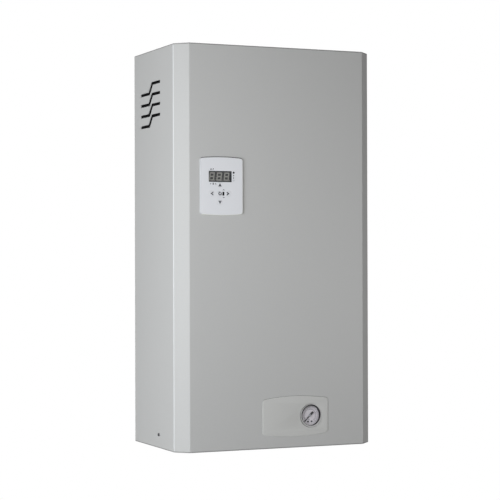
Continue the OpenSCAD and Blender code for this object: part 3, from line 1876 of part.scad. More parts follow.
module keypad_board() {
  at_panel() color("seagreen") translate([0, 0, pad_front]) {
    slab(-pad_t, pad_t) box_plan(pad_w, pad_h, pad_corner);
    for (k = key_rows)
      translate([keys_x + k[0] * keys_ring, keys_z + k[1] * keys_ring, 0]) {
        brick(tact_w, tact_w, -pad_t / 2, tact_d + pad_t / 2);
        cylinder(r = tact_pin_r, h = key_low - key_travel - gap - pad_front);
      }
  }
}

module indicator_lights() {
  at_panel() color("black") lights(0, pad_front, panel_raise - light_sink);
}

module control_back() {
  w = skirt_w - 2 * skirt_t - 2 * back_play;
  h = skirt_h - 2 * skirt_t - 2 * back_play;
  low = pad_front - pad_t - back_depth;
  at_panel() color("whitesmoke") difference() {
    slab(low, back_depth) box_plan(w, h, pad_corner);
    slab(low + back_t, back_depth)
      box_plan(w - 2 * back_t, h - 2 * back_t, pad_corner - back_t);
    translate([0, -pad_h / 4, low - overrun])
      linear_extrude(back_t + 2 * overrun) box_plan(back_plug_w, back_plug_h, back_t / 2);
  }
}

// A button by its place in the ring: cap, two ears behind the panel, and stem
module key(place) {
  at_panel() color("whitesmoke")
    translate([keys_x + place[0] * keys_ring, keys_z + place[1] * keys_ring, 0]) {
      rotate_extrude() polygon([
        [0, key_low], [key_stem_r, key_low], [key_stem_r, ear_low], [key_d / 2, ear_low],
        [key_d / 2, panel_raise + key_proud - key_edge],
        [key_d / 2 - key_edge, panel_raise + key_proud], [0, panel_raise + key_proud]
      ]);
      brick(key_d + 2 * key_ear, 0.6 * key_d, ear_low, key_ear_t);
    }
}

module button_up() { key(key_rows[0]); }
module button_down() { key(key_rows[1]); }
module button_left() { key(key_rows[2]); }
module button_right() { key(key_rows[3]); }
module button_ok() { key(key_rows[4]); }
wall_bracket();
back_panel();
base_plate();
wall_buffers();
tank_shell();
tank_jacket();
tank_clamps();
flange_gasket();
heater_plate();
heating_elements();
flange_bolts();
water_stubs();
supply_pipe();
return_pipe();
pump_pipe();
union_nuts();
air_vent();
vent_cap();
safety_valve();
safety_valve_knob();
flow_sensor();
pump_housing();
pump_motor();
pump_rotor();
pump_box();
pump_speed_knob();
expansion_vessel();
vessel_straps();
vessel_pipe();
gauge_bracket();
gauge_case();
gauge_dial();
gauge_pointer();
gauge_lens();
gauge_bezel();
gauge_capillary();
electrics_tray();
main_board();
board_parts();
contactor();
contactor_armature();
power_cooler();
terminal_block();
safety_thermostat();
thermostat_reset();
cable_glands();
cover();
cover_screws();
badge_plate();
control_bezel();
control_back();
display_window();
display_module();
keypad_board();
indicator_lights();
button_up();
button_down();
button_left();
button_right();
button_ok();
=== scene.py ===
# Wall-hung electric heating boiler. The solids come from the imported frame; this script gives them
# their finishes and makes the faces, soft edges and small fittings that the eye sees.
import json
import math

import bmesh
import bpy
import numpy as np
from mathutils import Matrix, Vector
from mathutils.geometry import tessellate_polygon


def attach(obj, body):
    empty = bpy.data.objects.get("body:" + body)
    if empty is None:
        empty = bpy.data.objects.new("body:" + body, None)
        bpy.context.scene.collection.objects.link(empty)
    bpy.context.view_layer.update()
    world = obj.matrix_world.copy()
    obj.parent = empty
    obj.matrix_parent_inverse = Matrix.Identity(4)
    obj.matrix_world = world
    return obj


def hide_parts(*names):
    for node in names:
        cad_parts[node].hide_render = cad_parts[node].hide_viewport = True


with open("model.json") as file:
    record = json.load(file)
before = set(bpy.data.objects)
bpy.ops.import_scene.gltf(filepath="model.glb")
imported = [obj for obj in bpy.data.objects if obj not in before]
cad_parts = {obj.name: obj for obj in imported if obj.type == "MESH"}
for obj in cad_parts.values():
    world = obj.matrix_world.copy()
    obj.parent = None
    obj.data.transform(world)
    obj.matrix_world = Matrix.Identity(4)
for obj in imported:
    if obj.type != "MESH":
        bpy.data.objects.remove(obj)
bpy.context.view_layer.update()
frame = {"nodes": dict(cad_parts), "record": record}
nodes = frame["nodes"]
print("frame loaded with", len(nodes), "solids")

mm = 0.001
sharpAngle = math.radians(35)
case = {  # outer measures of the cover, heights from the line of the wall bolts
    "width": 380 * mm,
    "depth": 220 * mm,
    "bottom": -640 * mm,
    "top": 70 * mm,
    "bevel": 21.5 * mm,
    "bend": 2.5 * mm,
    "sheet": 1.2 * mm,
    "rear": 1 * mm,
}


# Outlines: closed rows of points in a plane, counter-clockwise

def roundRect(w, h, r, n=8):
    # corner arcs of radius r about the four inner corners
    a = np.radians(np.linspace(0, 90, n))
    x, y = w / 2 - r, h / 2 - r
    corners = [(x, y, 0), (-x, y, 90), (-x, -y, 180), (x, -y, 270)]
    arcs = []
    for cx, cy, t in corners:
        turn = a + math.radians(t)
        arcs.append(np.stack([cx + r * np.cos(turn), cy + r * np.sin(turn)], -1))
    return np.concatenate(arcs)


def pillowOutline(w, h, bulge, r, n=24):
    # a round-cornered rectangle whose level edges swell by bulge * (1 - (2x / w)^2)
    a = np.radians(np.linspace(0, 90, 9))
    x, y = w / 2 - r, h / 2 - r
    edge = np.linspace(x, -x, n)[1:-1]
    p = np.concatenate([
        np.stack([x + r * np.cos(a), y + r * np.sin(a)], -1),
        np.stack([edge, np.full(n - 2, h / 2)], -1),
        np.stack([-x - r * np.sin(a), y + r * np.cos(a)], -1),
        np.stack([-x - r * np.cos(a), -y - r * np.sin(a)], -1),
        np.stack([-edge, np.full(n - 2, -h / 2)], -1),
        np.stack([x + r * np.sin(a), -y - r * np.cos(a)], -1)])
    p[:, 1] += np.sign(p[:, 1]) * bulge * (1 - (2 * p[:, 0] / w) ** 2)
    return p


def circleOutline(r, n=48, x=0.0, y=0.0):
    # (x + r cos a, y + r sin a)
    a = np.linspace(0, 2 * math.pi, n, endpoint=False)
    return np.stack([x + r * np.cos(a), y + r * np.sin(a)], -1)


def arcBand(outer, inner, start, end, n=20):
    # a flat band between two radii, from one angle to another in degrees
    a = np.radians(np.linspace(start, end, n))
    way = np.stack([np.cos(a), np.sin(a)], -1)
    return np.concatenate([outer * way, inner * way[::-1]])


def chevron(spread, rise, stroke):
    # an open angle pointing up, with square feet
    return np.array([(0, rise / 2), (-spread, -rise / 2), (-spread + stroke, -rise / 2),
                     (0, rise / 2 - stroke * 1.4), (spread - stroke, -rise / 2), (spread, -rise / 2)])


def shifted(outline, x, y):
    return outline + np.array([x, y])


def turned(outline, degrees):
    c, s = math.cos(math.radians(degrees)), math.sin(math.radians(degrees))
    return outline @ np.array([[c, s], [-s, c]])


def outlineNormals(outline):
    # each point's outward normal: the chord between its neighbours, turned right by a quarter
    d = np.roll(outline, -1, 0) - np.roll(outline, 1, 0)
    d /= np.linalg.norm(d, axis=1, keepdims=True)
    return np.stack([d[:, 1], -d[:, 0]], -1)


def inset(outline, d):
    return outline - d * outlineNormals(outline)


def quarter(cx, cy, r, start, end, n=5):
    # points of an arc in a profile, by its angles in degrees
    a = np.radians(np.linspace(start, end, n))
    return [(cx + r * math.cos(t), cy + r * math.sin(t)) for t in a]


# Meshes: each helper gives points and faces, and place puts the points where they belong

def gridQuads(rows, columns, closeColumns=False):
    # every cell of a grid of points, counted row by row, as its four corners
    i, j = np.meshgrid(np.arange(rows - 1), np.arange(columns - (not closeColumns)), indexing="ij")
    below, beside = i + 1, (j + 1) % columns
    corners = [i * columns + j, i * columns + beside, below * columns + beside, below * columns + j]
    return np.stack(corners, -1).reshape(-1, 4)


def joined(parts):
    # several (points, faces) pairs as one, with the face numbers moved up
    points, faces, start = [], [], 0
    for p, f in parts:
        points.append(p)
        faces.extend((np.asarray(f) + start).tolist())
        start += len(p)
    return np.concatenate(points), faces


def rim(outline, profile, place):
    # point(s, t) = outline(s) - inset(t) * normal(s), at height(t), for a closed outline
    inwards, height = np.array(profile).T
    flat = outline[None] - inwards[:, None, None] * outlineNormals(outline)[None]
    points = np.concatenate([flat, np.broadcast_to(height[:, None, None], flat.shape[:2] + (1,))], -1)
    return place(points.reshape(-1, 3)), gridQuads(len(inwards), len(outline), closeColumns=True)


def face(outer, holes, height, place):
    # the flat face between an outline and its holes, cut into triangles
    loops = [outer] + holes
    flat = np.concatenate(loops)
    triangles = tessellate_polygon([[Vector((x, y, 0)) for x, y in loop] for loop in loops])
    return place(np.column_stack([flat, np.full(len(flat), height)])), [list(t) for t in triangles]


def lathe(profile, place, n=64):
    # point(s, t) = (radius(t) cos s, radius(t) sin s, height(t))
    r, h = np.array(profile).T
    a = np.linspace(0, 2 * math.pi, n, endpoint=False)
    level = np.broadcast_to(h[:, None], (len(h), n))
    points = np.stack([r[:, None] * np.cos(a), r[:, None] * np.sin(a), level], -1)
    return place(points.reshape(-1, 3)), gridQuads(len(r), n, closeColumns=True)


def ringRows(rows, place, n=96):
    # circles of a given radius, height and middle, joined one to the next
    points = [np.column_stack([circleOutline(r, n, x, y), np.full(n, h)]) for r, h, x, y in rows]
    return place(np.concatenate(points)), gridQuads(len(rows), n, closeColumns=True)


def slab(outline, low, high, place, holes=()):
    # an outline made into a plate between two heights, with square edges
    loops = [outline, *holes]
    walls = [rim(loop, [(0, low), (0, high)], place) for loop in loops]
    return [*walls, face(outline, list(holes), high, place), face(outline, list(holes), low, place)]


def softSlab(outline, low, high, edge, place, holes=(), lip=0.3, hold=0.15, steps=7):
    # the same with its front edge rounded, and a rounded lip round each hole, but open at the back
    rounded = [(0, low), *quarter(edge, high - edge, edge, 180, 90, steps), (edge + hold, high)]
    mouth = [(-lip - hold, high), *quarter(-lip, high - lip, lip, 90, 0, 4), (0, low)]
    lips = [rim(h, mouth, place) for h in holes]
    top = face(inset(outline, edge + hold), [inset(h, -lip - hold) for h in holes], high, place)
    return [rim(outline, rounded, place), *lips, top]


def printed(outlines, low, place, thick=0.03):
    # thin layers of ink over a face
    return [part for o in outlines for part in slab(o, low, low + thick, place)]


def onFront(x, z, out=0.0):
    # a place on the cover's front in millimetres: to the right, up, and third out of the front
    front = -case["depth"] / mm - out
    return lambda p: np.stack([x + p[:, 0], front - p[:, 2], z + p[:, 1]], -1) * mm


def makePiece(name, parts, body, materials, replaces=(), which=None, outward=True):
    # one object from several parts: which gives each part's material by its number
    points, faces = joined(parts)
    mesh = bpy.data.meshes.new(name)
    mesh.from_pydata(points.tolist(), [], faces)
    if which is not None:
        index = [np.full(len(f), k, np.int32) for (p, f), k in zip(parts, which)]
        mesh.polygons.foreach_set("material_index", np.concatenate(index))
    work = bmesh.new()
    work.from_mesh(mesh)
    bmesh.ops.remove_doubles(work, verts=work.verts, dist=1e-6)
    bmesh.ops.dissolve_degenerate(work, edges=work.edges, dist=1e-7)
    if outward:
        bmesh.ops.recalc_face_normals(work, faces=work.faces)
    work.to_mesh(mesh)
    work.free()
    mesh.shade_smooth()
    mesh.set_sharp_from_angle(angle=sharpAngle)
    piece = bpy.data.objects.new(name, mesh)
    bpy.context.scene.collection.objects.link(piece)
    for m in materials:
        mesh.materials.append(m)
    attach(piece, body)
    if replaces:
        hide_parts(*replaces)
    return piece


def bake(piece):
    # the finished shape of a piece in place of its modifiers, its edges sharp where faces meet at an angle
    mesh = bpy.data.meshes.new_from_object(piece.evaluated_get(bpy.context.evaluated_depsgraph_get()))
    piece.modifiers.clear()
    piece.data = mesh
    mesh.name = piece.name
    mesh.shade_smooth()
    mesh.set_sharp_from_angle(angle=sharpAngle)


def paintBorder(piece, border, left, right, low, rest=0):
    # the faces of one material on a piece's border, painted anew by the way they face: painted light and
    # shade in lit and shaded tones
    polygons = piece.data.polygons
    normals, paint = np.empty(len(polygons) * 3), np.empty(len(polygons), np.int32)
    polygons.foreach_get("normal", normals)
    polygons.foreach_get("material_index", paint)
    x, z = normals[::3], normals[2::3]
    way = np.where(x < -0.3, left, np.where(x > 0.3, right, np.where(z < -0.4, low, rest)))
    polygons.foreach_set("material_index", np.where(paint == border, way, paint).astype(np.int32))


# Finishes

def srgb(*c):
    # the linear value of a colour written from 0 to 255
    return tuple(((v / 255 + 0.055) / 1.055) ** 2.4 if v > 10 else v / 255 / 12.92 for v in c) + (1,)


def makeFinish(name, tone, second, rough=0.5, roughSpread=0.06, metallic=0.0, size=0.004, grain="noise",
               stretch=(1, 1, 1), detail=6, bump=0.1, bumpSize=None, depth=0.00002, coat=0.0, coatRough=0.1,
               contrast=(0.35, 0.65), specular=0.5):
    # two tones mixed by a grain of a given size in metres, roughness by the same grain, and a fine relief
    material = bpy.data.materials.new(name)
    material.use_nodes = True
    tree = material.node_tree
    shader = tree.nodes["Principled BSDF"]
    add, link = tree.nodes.new, tree.links.new
    where = add("ShaderNodeTexCoord")
    turn = add("ShaderNodeMapping")
    turn.inputs["Scale"].default_value = [s / size for s in stretch]
    link(where.outputs["Object"], turn.inputs["Vector"])
    if grain == "flakes":
        pattern = add("ShaderNodeTexVoronoi")
        value = pattern.outputs["Color"]
    else:
        pattern = add("ShaderNodeTexNoise")
        pattern.inputs["Detail"].default_value = detail
        value = pattern.outputs["Fac"]
    pattern.inputs["Scale"].default_value = 1
    link(turn.outputs["Vector"], pattern.inputs["Vector"])
    ramp = add("ShaderNodeValToRGB")
    ends = ramp.color_ramp.elements
    ends[0].position, ends[1].position = contrast
    ends[0].color, ends[1].color = srgb(*tone), srgb(*second)
    link(value, ramp.inputs["Fac"])
    link(ramp.outputs["Color"], shader.inputs["Base Color"])
    spread = add("ShaderNodeMapRange")
    spread.inputs["To Min"].default_value = rough - roughSpread
    spread.inputs["To Max"].default_value = rough + roughSpread
    link(value, spread.inputs["Value"])
    link(spread.outputs["Result"], shader.inputs["Roughness"])
    relief = add("ShaderNodeTexNoise")
    relief.inputs["Scale"].default_value = 1
    relief.inputs["Detail"].default_value = 3
    fine = add("ShaderNodeMapping")
    fine.inputs["Scale"].default_value = [s / (bumpSize or size) for s in stretch]
    link(where.outputs["Object"], fine.inputs["Vector"])
    link(fine.outputs["Vector"], relief.inputs["Vector"])
    raised = add("ShaderNodeBump")
    raised.inputs["Strength"].default_value = bump
    raised.inputs["Distance"].default_value = depth
    link(relief.outputs["Fac"], raised.inputs["Height"])
    link(raised.outputs["Normal"], shader.inputs["Normal"])
    shader.inputs["Metallic"].default_value = metallic
    shader.inputs["Coat Weight"].default_value = coat
    shader.inputs["Coat Roughness"].default_value = coatRough
    shader.inputs["Specular IOR Level"].default_value = specular
    return material


def makeClear(name, tint, second, cover, rough, size):
    # a clear or smoked pane: see-through, with a glossy face whose dust varies a little; what is not let
    # through is cover + (1 - cosine of the angle of sight) ^ 5
    material = makeFinish(name, tint, second, rough=rough, roughSpread=0.02, size=size, bump=0.02,
                          bumpSize=0.02)
    tree = material.node_tree
    shader, out = tree.nodes["Principled BSDF"], tree.nodes["Material Output"]
    add, link = tree.nodes.new, tree.links.new
    clear, mix, edge = (add("ShaderNode" + k) for k in ("BsdfTransparent", "MixShader", "LayerWeight"))
    steep, more = add("ShaderNodeMath"), add("ShaderNodeMath")
    steep.operation, more.operation = "POWER", "ADD"
    steep.inputs[1].default_value = 5
    more.use_clamp = True
    more.inputs[1].default_value = cover
    link(edge.outputs["Facing"], steep.inputs[0])
    link(steep.outputs["Value"], more.inputs[0])
    link(more.outputs["Value"], mix.inputs["Fac"])
    link(clear.outputs["BSDF"], mix.inputs[1])
    link(shader.outputs["BSDF"], mix.inputs[2])
    link(mix.outputs["Shader"], out.inputs["Surface"])
    return material


# sizes of grain and relief that several finishes share
coatGrain = {"size": 0.0006, "bumpSize": 0.0007, "depth": 0.00001}
mouldGrain = {"size": 0.0008, "bumpSize": 0.0004, "depth": 0.00001, "bump": 0.15}
inkGrain = {"size": 0.0004, "rough": 0.6}

finishes = {
    "case_paint": makeFinish("silverPowderCoat", (177, 177, 176), (181, 181, 180), rough=0.46,
                             roughSpread=0.04, bump=0.25, detail=3, specular=0.1, **coatGrain),
    "white_plastic": makeFinish("paleGreyPlastic", (208, 209, 213), (212, 213, 216), rough=0.42,
                                specular=0.25, **mouldGrain),
    "smoked_window": makeClear("smokedAcrylic", (16, 16, 17), (17, 17, 18), 0.054, 0.15, 0.01),
    "module_plastic": makeFinish("displayBody", (66, 67, 67), (70, 71, 71), rough=0.6, size=0.003),
    "circuit_board": makeFinish("greenBoard", (18, 78, 44), (30, 98, 58), rough=0.35, size=0.0025,
                                grain="flakes", bump=0.3, bumpSize=0.0012, contrast=(0.2, 0.9)),
    "board_plastic": makeFinish("componentBlack", (34, 34, 37), (44, 44, 47), size=0.0015),
    "zinc_sheet": makeFinish("galvanisedSheet", (158, 162, 166), (174, 178, 181), roughSpread=0.05,
                             metallic=0.8, size=0.008, grain="flakes", bumpSize=0.003),
    "screw_steel": makeFinish("blackenedSteel", (52, 52, 54), (66, 66, 68), rough=0.42, metallic=0.7,
                              size=0.0008),
    "bolt_steel": makeFinish("zincPlate", (178, 182, 188), (196, 199, 202), rough=0.28, metallic=0.95,
                             size=0.002),
    "rubber": makeFinish("rubber", (28, 28, 29), (36, 36, 36), rough=0.82, size=0.0015, bump=0.4,
                         bumpSize=0.0006),
    "stainless": makeFinish("rolledStainless", (168, 168, 166), (188, 188, 186), rough=0.3, roughSpread=0.08,
                            metallic=0.95, stretch=(1, 1, 0.05), bump=0.2, bumpSize=0.0006),
    "foam": makeFinish("foamSkin", (30, 30, 33), (42, 42, 45), rough=0.88, size=0.003, bump=0.8,
                       bumpSize=0.0015, depth=0.0002),
    "gasket_red": makeFinish("pressedFibre", (112, 36, 26), (134, 52, 38), rough=0.85, size=0.001, bump=0.6),
    "element_steel": makeFinish("annealedTube", (120, 112, 98), (150, 146, 138), rough=0.35, roughSpread=0.1,
                                metallic=0.9, size=0.012),
    "copper": makeFinish("drawnCopper", (176, 104, 70), (198, 126, 90), rough=0.3, roughSpread=0.1,
                         metallic=0.95, size=0.014, bumpSize=0.003),
    "brass": makeFinish("turnedBrass", (186, 152, 84), (206, 174, 106), rough=0.3, roughSpread=0.08,
                        metallic=0.95, size=0.006, bump=0.2, bumpSize=0.0005),
    "black_plastic": makeFinish("mouldedBlack", (26, 26, 27), (34, 34, 35), rough=0.55, size=0.001,
                                bump=0.4, bumpSize=0.0005),
    "red_plastic": makeFinish("mouldedRed", (164, 22, 20), (182, 30, 26), rough=0.35, size=0.002),
    "cast_iron": makeFinish("coatedCasting", (46, 50, 54), (62, 66, 70), rough=0.62, size=0.002, bump=0.9,
                            bumpSize=0.0012, depth=0.0003),
    "motor_grey": makeFinish("sprayedMotor", (84, 88, 92), (96, 100, 104), rough=0.45, size=0.0015,
                             bump=0.4, bumpSize=0.0008),
    "knob_plastic": makeFinish("knobGrey", (138, 140, 145), (150, 152, 156), size=0.001),
    "vessel_red": makeFinish("redEnamel", (150, 18, 16), (166, 26, 22), rough=0.3, size=0.01, coat=0.4,
                             bump=0.3, bumpSize=0.002),
    "gauge_black": makeFinish("blackLacquer", (12, 12, 14), (18, 18, 20), rough=0.35, size=0.002),
    "dial_face": makeFinish("dialFace", (199, 195, 200), (205, 201, 206), size=0.002),
    "glass": makeClear("gaugeGlass", (235, 240, 245), (249, 254, 255), 0.01, 0.03, 0.02),
    "chrome": makeFinish("satinChrome", (156, 156, 156), (164, 164, 163), rough=0.42, roughSpread=0.03,
                         metallic=1.0, bump=0.02),
    "aluminium": makeFinish("extrudedAluminium", (178, 180, 183), (194, 196, 198), rough=0.36, metallic=0.9,
                            size=0.003, stretch=(1, 1, 0.03), bump=0.3, bumpSize=0.0005),
    "terminal_plastic": makeFinish("creamPlastic", (206, 198, 176), (216, 209, 189), size=0.002),
}

# the cover's paint with a painted highlight on a bend and painted shade on the folded edges, the plate's own
# paint on its face and painted light on its right border
bendPaintedHighlight = makeFinish("paintedHighlightOnBend", (206, 207, 209), (210, 211, 212), rough=0.42, bump=0.25, specular=0.1,
                       **coatGrain)
foldPaintedShade = makeFinish("paintedShadeOnFold", (140, 140, 139), (144, 144, 143), rough=0.6, bump=0.25, specular=0.02,
                       **coatGrain)
platePaint = makeFinish("paintOnPlate", (185, 185, 183), (189, 189, 187), bump=0.2, specular=0.1, **coatGrain)
plateBorderPaintedLight = makeFinish("plateBorderPaintedLight", (206, 206, 204), (210, 210, 208), bump=0.2, specular=0.1, **coatGrain)
# the panel's moulding with painted shade on its left border, and a cream-tinted painted highlight on its
# right and lower ones
panelEdgePaintedShade = makeFinish("paintedShadeOnPanelEdge", (184, 185, 189), (188, 189, 192), specular=0.1, **mouldGrain)
panelEdgePaintedHighlight = makeFinish("paintedHighlightOnPanelEdge", (232, 232, 222), (235, 235, 226), rough=0.42, specular=0.25, **mouldGrain)
# inks, lenses and the rest
printInk = makeFinish("greyPrint", (26, 26, 34), (34, 34, 42), specular=0.2, **inkGrain)
paleInk = makeFinish("palePrint", (88, 90, 98), (98, 100, 108), **inkGrain)
dialInk = makeFinish("dialPrint", (172, 168, 174), (178, 174, 180), **inkGrain)
displayMask = makeFinish("displayMask", (46, 47, 50), (50, 51, 54), rough=0.6, size=0.002)
segmentGrey = makeFinish("unlitSegment", (146, 145, 140), (151, 150, 145), size=0.0006)
ventMeshAndShade = makeFinish("blackMeshAndShade", (5, 5, 6), (9, 9, 10), rough=0.9, size=0.0012, bump=0.9, bumpSize=0.0008,
                      depth=0.0003, specular=0.05)
darkLens = makeFinish("darkLens", (14, 14, 18), (20, 20, 24), rough=0.35, size=0.001, specular=0.3)
blackLens = makeFinish("blackLens", (3, 3, 4), (6, 6, 7), size=0.001, specular=0.1)
paleLens = makeFinish("paleLens", (188, 190, 194), (194, 196, 200), rough=0.3, size=0.001)

slotOf = {p["node"]: p["material_slot"] for p in frame["record"]["subparts"]}
for name, node in nodes.items():
    node.data.materials.clear()
    node.data.materials.append(finishes[slotOf[name]])
print("finishes made:", len(finishes))


# Camera, floor and light

view = {  # found by matching the case's corners with the photograph
    "target": (-6.0 * mm, -110 * mm, -288.4 * mm),
    "distance": 2984.4 * mm,
    "yaw": 23.73,
    "pitch": 0.344,
    "roll": -0.161,
    "focal": 1631.4,  # in pixels of a frame 500 wide
    "frame": 500,
    "sensor": 36,
}


def makeCamera(v):
    # ahead is turned by yaw from +Y and raised by pitch; the picture's own axes are turned about it by roll
    yaw, pitch, roll = (math.radians(v[k]) for k in ("yaw", "pitch", "roll"))
    ahead = Vector((math.sin(yaw) * math.cos(pitch), math.cos(yaw) * math.cos(pitch), math.sin(pitch)))
    right = ahead.cross(Vector((0, 0, 1))).normalized()
    up = right.cross(ahead)
    side = right * math.cos(roll) + up * math.sin(roll)
    top = up * math.cos(roll) - right * math.sin(roll)
    data = bpy.data.cameras.new("camera")
    data.sensor_width = v["sensor"]
    data.lens = v["focal"] / v["frame"] * v["sensor"]
    camera = bpy.data.objects.new("camera", data)
    turn = Matrix((side, top, -ahead)).transposed().to_4x4()
    camera.matrix_world = Matrix.Translation(Vector(v["target"]) - ahead * v["distance"]) @ turn
    bpy.context.scene.collection.objects.link(camera)
    bpy.context.scene.camera = camera


light = {
    "aim": (0, -0.11, -0.285),
    "lamps": {  # azimuth from the front in degrees to the left, height over the aim, distance from it, power
        "key": {"azimuth": 60, "height": -0.08, "distance": 1.5, "size": (0.7, 0.8), "power": 16.1,
                "tint": (0.93, 0.967, 1)},
        "fill": {"azimuth": 25, "height": 0.2, "distance": 0.9, "size": (0.4, 0.4), "power": 1.65},
        "low": {"azimuth": -35, "height": -0.12, "distance": 0.7, "size": (0.3, 0.3), "power": 0.44},
        "rear": {"azimuth": 196, "height": 0.3, "distance": 1.8, "size": (0.9, 0.9), "power": 6},
        "top": {"azimuth": 180, "height": 1.9, "distance": 0.5, "size": (0.5, 0.3), "power": 12},
    },
    "world": {"strength": 0.374, "dark": 0.83, "from": -0.2, "warmth": (1, 0.99, 0.975, 1)},
    "floor": {"height": -1.55, "near": 0.6, "far": 3.2, "whiteNear": 0.6, "fadeEnd": 0.98},
}


def makeArea(name, spec, aim):
    # a rectangular lamp at a bearing from the aim, turned to face it
    data = bpy.data.lights.new(name, "AREA")
    data.shape = "RECTANGLE"
    data.size, data.size_y = spec["size"]
    data.energy = spec["power"]
    data.color = spec.get("tint", (1, 1, 1))
    lamp = bpy.data.objects.new(name, data)
    a = math.radians(spec["azimuth"])
    centre = Vector(aim)
    away = Vector((-math.sin(a), -math.cos(a), 0)) * spec["distance"]
    lamp.location = centre + away + Vector((0, 0, spec["height"]))
    lamp.rotation_euler = (centre - lamp.location).to_track_quat("-Z", "Y").to_euler()
    bpy.context.scene.collection.objects.link(lamp)


def whiteForCamera(tree):
    # one where the camera, a reflection or a pane looks straight at the surroundings, nought otherwise
    path = tree.nodes.new("ShaderNodeLightPath")
    either = tree.nodes.new("ShaderNodeMath")
    both = tree.nodes.new("ShaderNodeMath")
    either.operation = both.operation = "MAXIMUM"
    tree.links.new(path.outputs["Is Camera Ray"], either.inputs[0])
    tree.links.new(path.outputs["Is Transmission Ray"], either.inputs[1])
    tree.links.new(either.outputs["Value"], both.inputs[0])
    tree.links.new(path.outputs["Is Glossy Ray"], both.inputs[1])
    return both.outputs["Value"]


def makeWorld(spec):
    # even light all round, less from the right: strength * (1 - dark * share of the way to the right)
    world = bpy.data.worlds.new("studio")
    bpy.context.scene.world = world
    world.use_nodes = True
    tree = world.node_tree
    add, link = tree.nodes.new, tree.links.new
    plain = tree.nodes["Background"]
    plain.inputs["Color"].default_value = spec["warmth"]
    where, split, fade = (add("ShaderNode" + k) for k in ("TexCoord", "SeparateXYZ", "MapRange"))
    fade.inputs["From Min"].default_value = spec["from"]
    fade.inputs["To Min"].default_value = spec["strength"]
    fade.inputs["To Max"].default_value = spec["strength"] * (1 - spec["dark"])
    link(where.outputs["Generated"], split.inputs["Vector"])
    link(split.outputs["X"], fade.inputs["Value"])
    link(fade.outputs["Result"], plain.inputs["Strength"])
    white = add("ShaderNodeBackground")
    white.inputs["Color"].default_value = (1, 1, 1, 1)
    white.inputs["Strength"].default_value = 1
    mix = add("ShaderNodeMixShader")
    link(whiteForCamera(tree), mix.inputs["Fac"])
    link(plain.outputs["Background"], mix.inputs[1])
    link(white.outputs["Background"], mix.inputs[2])
    link(mix.outputs["Shader"], tree.nodes["World Output"].inputs["Surface"])


def makeFloor(spec):
    # a round floor: point(s, t) = radius(t) at the angle s; what is seen of it turns white towards its rim
    height, near, far = spec["height"], spec["near"], spec["far"]
    p, f = lathe([(far, height), (far / 2, height), (0, height)], lambda q: q, n=96)
    mesh = bpy.data.meshes.new("floor")
    mesh.from_pydata(p.tolist(), [], f.tolist())
    material = makeFinish("paleFloor", (236, 236, 236), (238, 238, 238), rough=0.9, size=0.2, bump=0)
    tree = material.node_tree
    add, link = tree.nodes.new, tree.links.new
    kinds = "TexCoord", "VectorMath", "VectorMath", "MapRange", "Math", "Emission", "MixShader"
    where, flat, length, fade, seen, glow, mix = (add("ShaderNode" + k) for k in kinds)
    flat.operation, length.operation = "MULTIPLY", "LENGTH"
    flat.inputs[1].default_value = (1, 1, 0)
    fade.inputs["From Min"].default_value = near
    fade.inputs["From Max"].default_value = far * spec["fadeEnd"]
    fade.inputs["To Min"].default_value = spec["whiteNear"]
    fade.inputs["To Max"].default_value = 1
    seen.operation = "MULTIPLY"
    link(where.outputs["Object"], flat.inputs[0])
    link(flat.outputs["Vector"], length.inputs[0])
    link(length.outputs["Value"], fade.inputs["Value"])
    link(fade.outputs["Result"], seen.inputs[0])
    link(whiteForCamera(tree), seen.inputs[1])
    link(seen.outputs["Value"], mix.inputs["Fac"])
    link(tree.nodes["Principled BSDF"].outputs["BSDF"], mix.inputs[1])
    link(glow.outputs["Emission"], mix.inputs[2])
    link(mix.outputs["Shader"], tree.nodes["Material Output"].inputs["Surface"])
    mesh.materials.append(material)
    floor = bpy.data.objects.new("floor", mesh)
    bpy.context.scene.collection.objects.link(floor)


makeCamera(view)
for name, spec in light["lamps"].items():
    makeArea(name + "Light", spec, light["aim"])
makeWorld(light["world"])
makeFloor(light["floor"])
bpy.context.scene.view_settings.view_transform = "Standard"
print("camera and light set")


# Cover

coverSheet = {  # in millimetres where no unit is given
    "fold": 1.5 * mm,  # radius along the top and bottom edges
    "hold": 0.4 * mm,
    "flange": 14 * mm,
    "arcSteps": 7,
    "foldSteps": 5,
    "sideColumns": [1, 12, 150, 180],
    "capShares": (0, 0.35, 0.7, 1),
    "slot": {"rear": 34.5, "rearRun": 43.5, "slant": 16, "frontRun": 40.5, "rise": 17.2, "width": 5.5,
             "slantMore": 3.0, "drop": 59.6, "pitch": 19.4, "count": 4, "endRound": 1},
    "panelHole": (-109.2, 462, 60.6, 82.6),  # middle over the bottom edge, width and height
    "gaugeHole": (63.0, 55.6, 21.3, 26.0),  # middle, radius, half of the square round it
    "gaugeSteps": 12,
    "touch": 0.01,  # how near to a side's plane a cell counts as part of that side
}


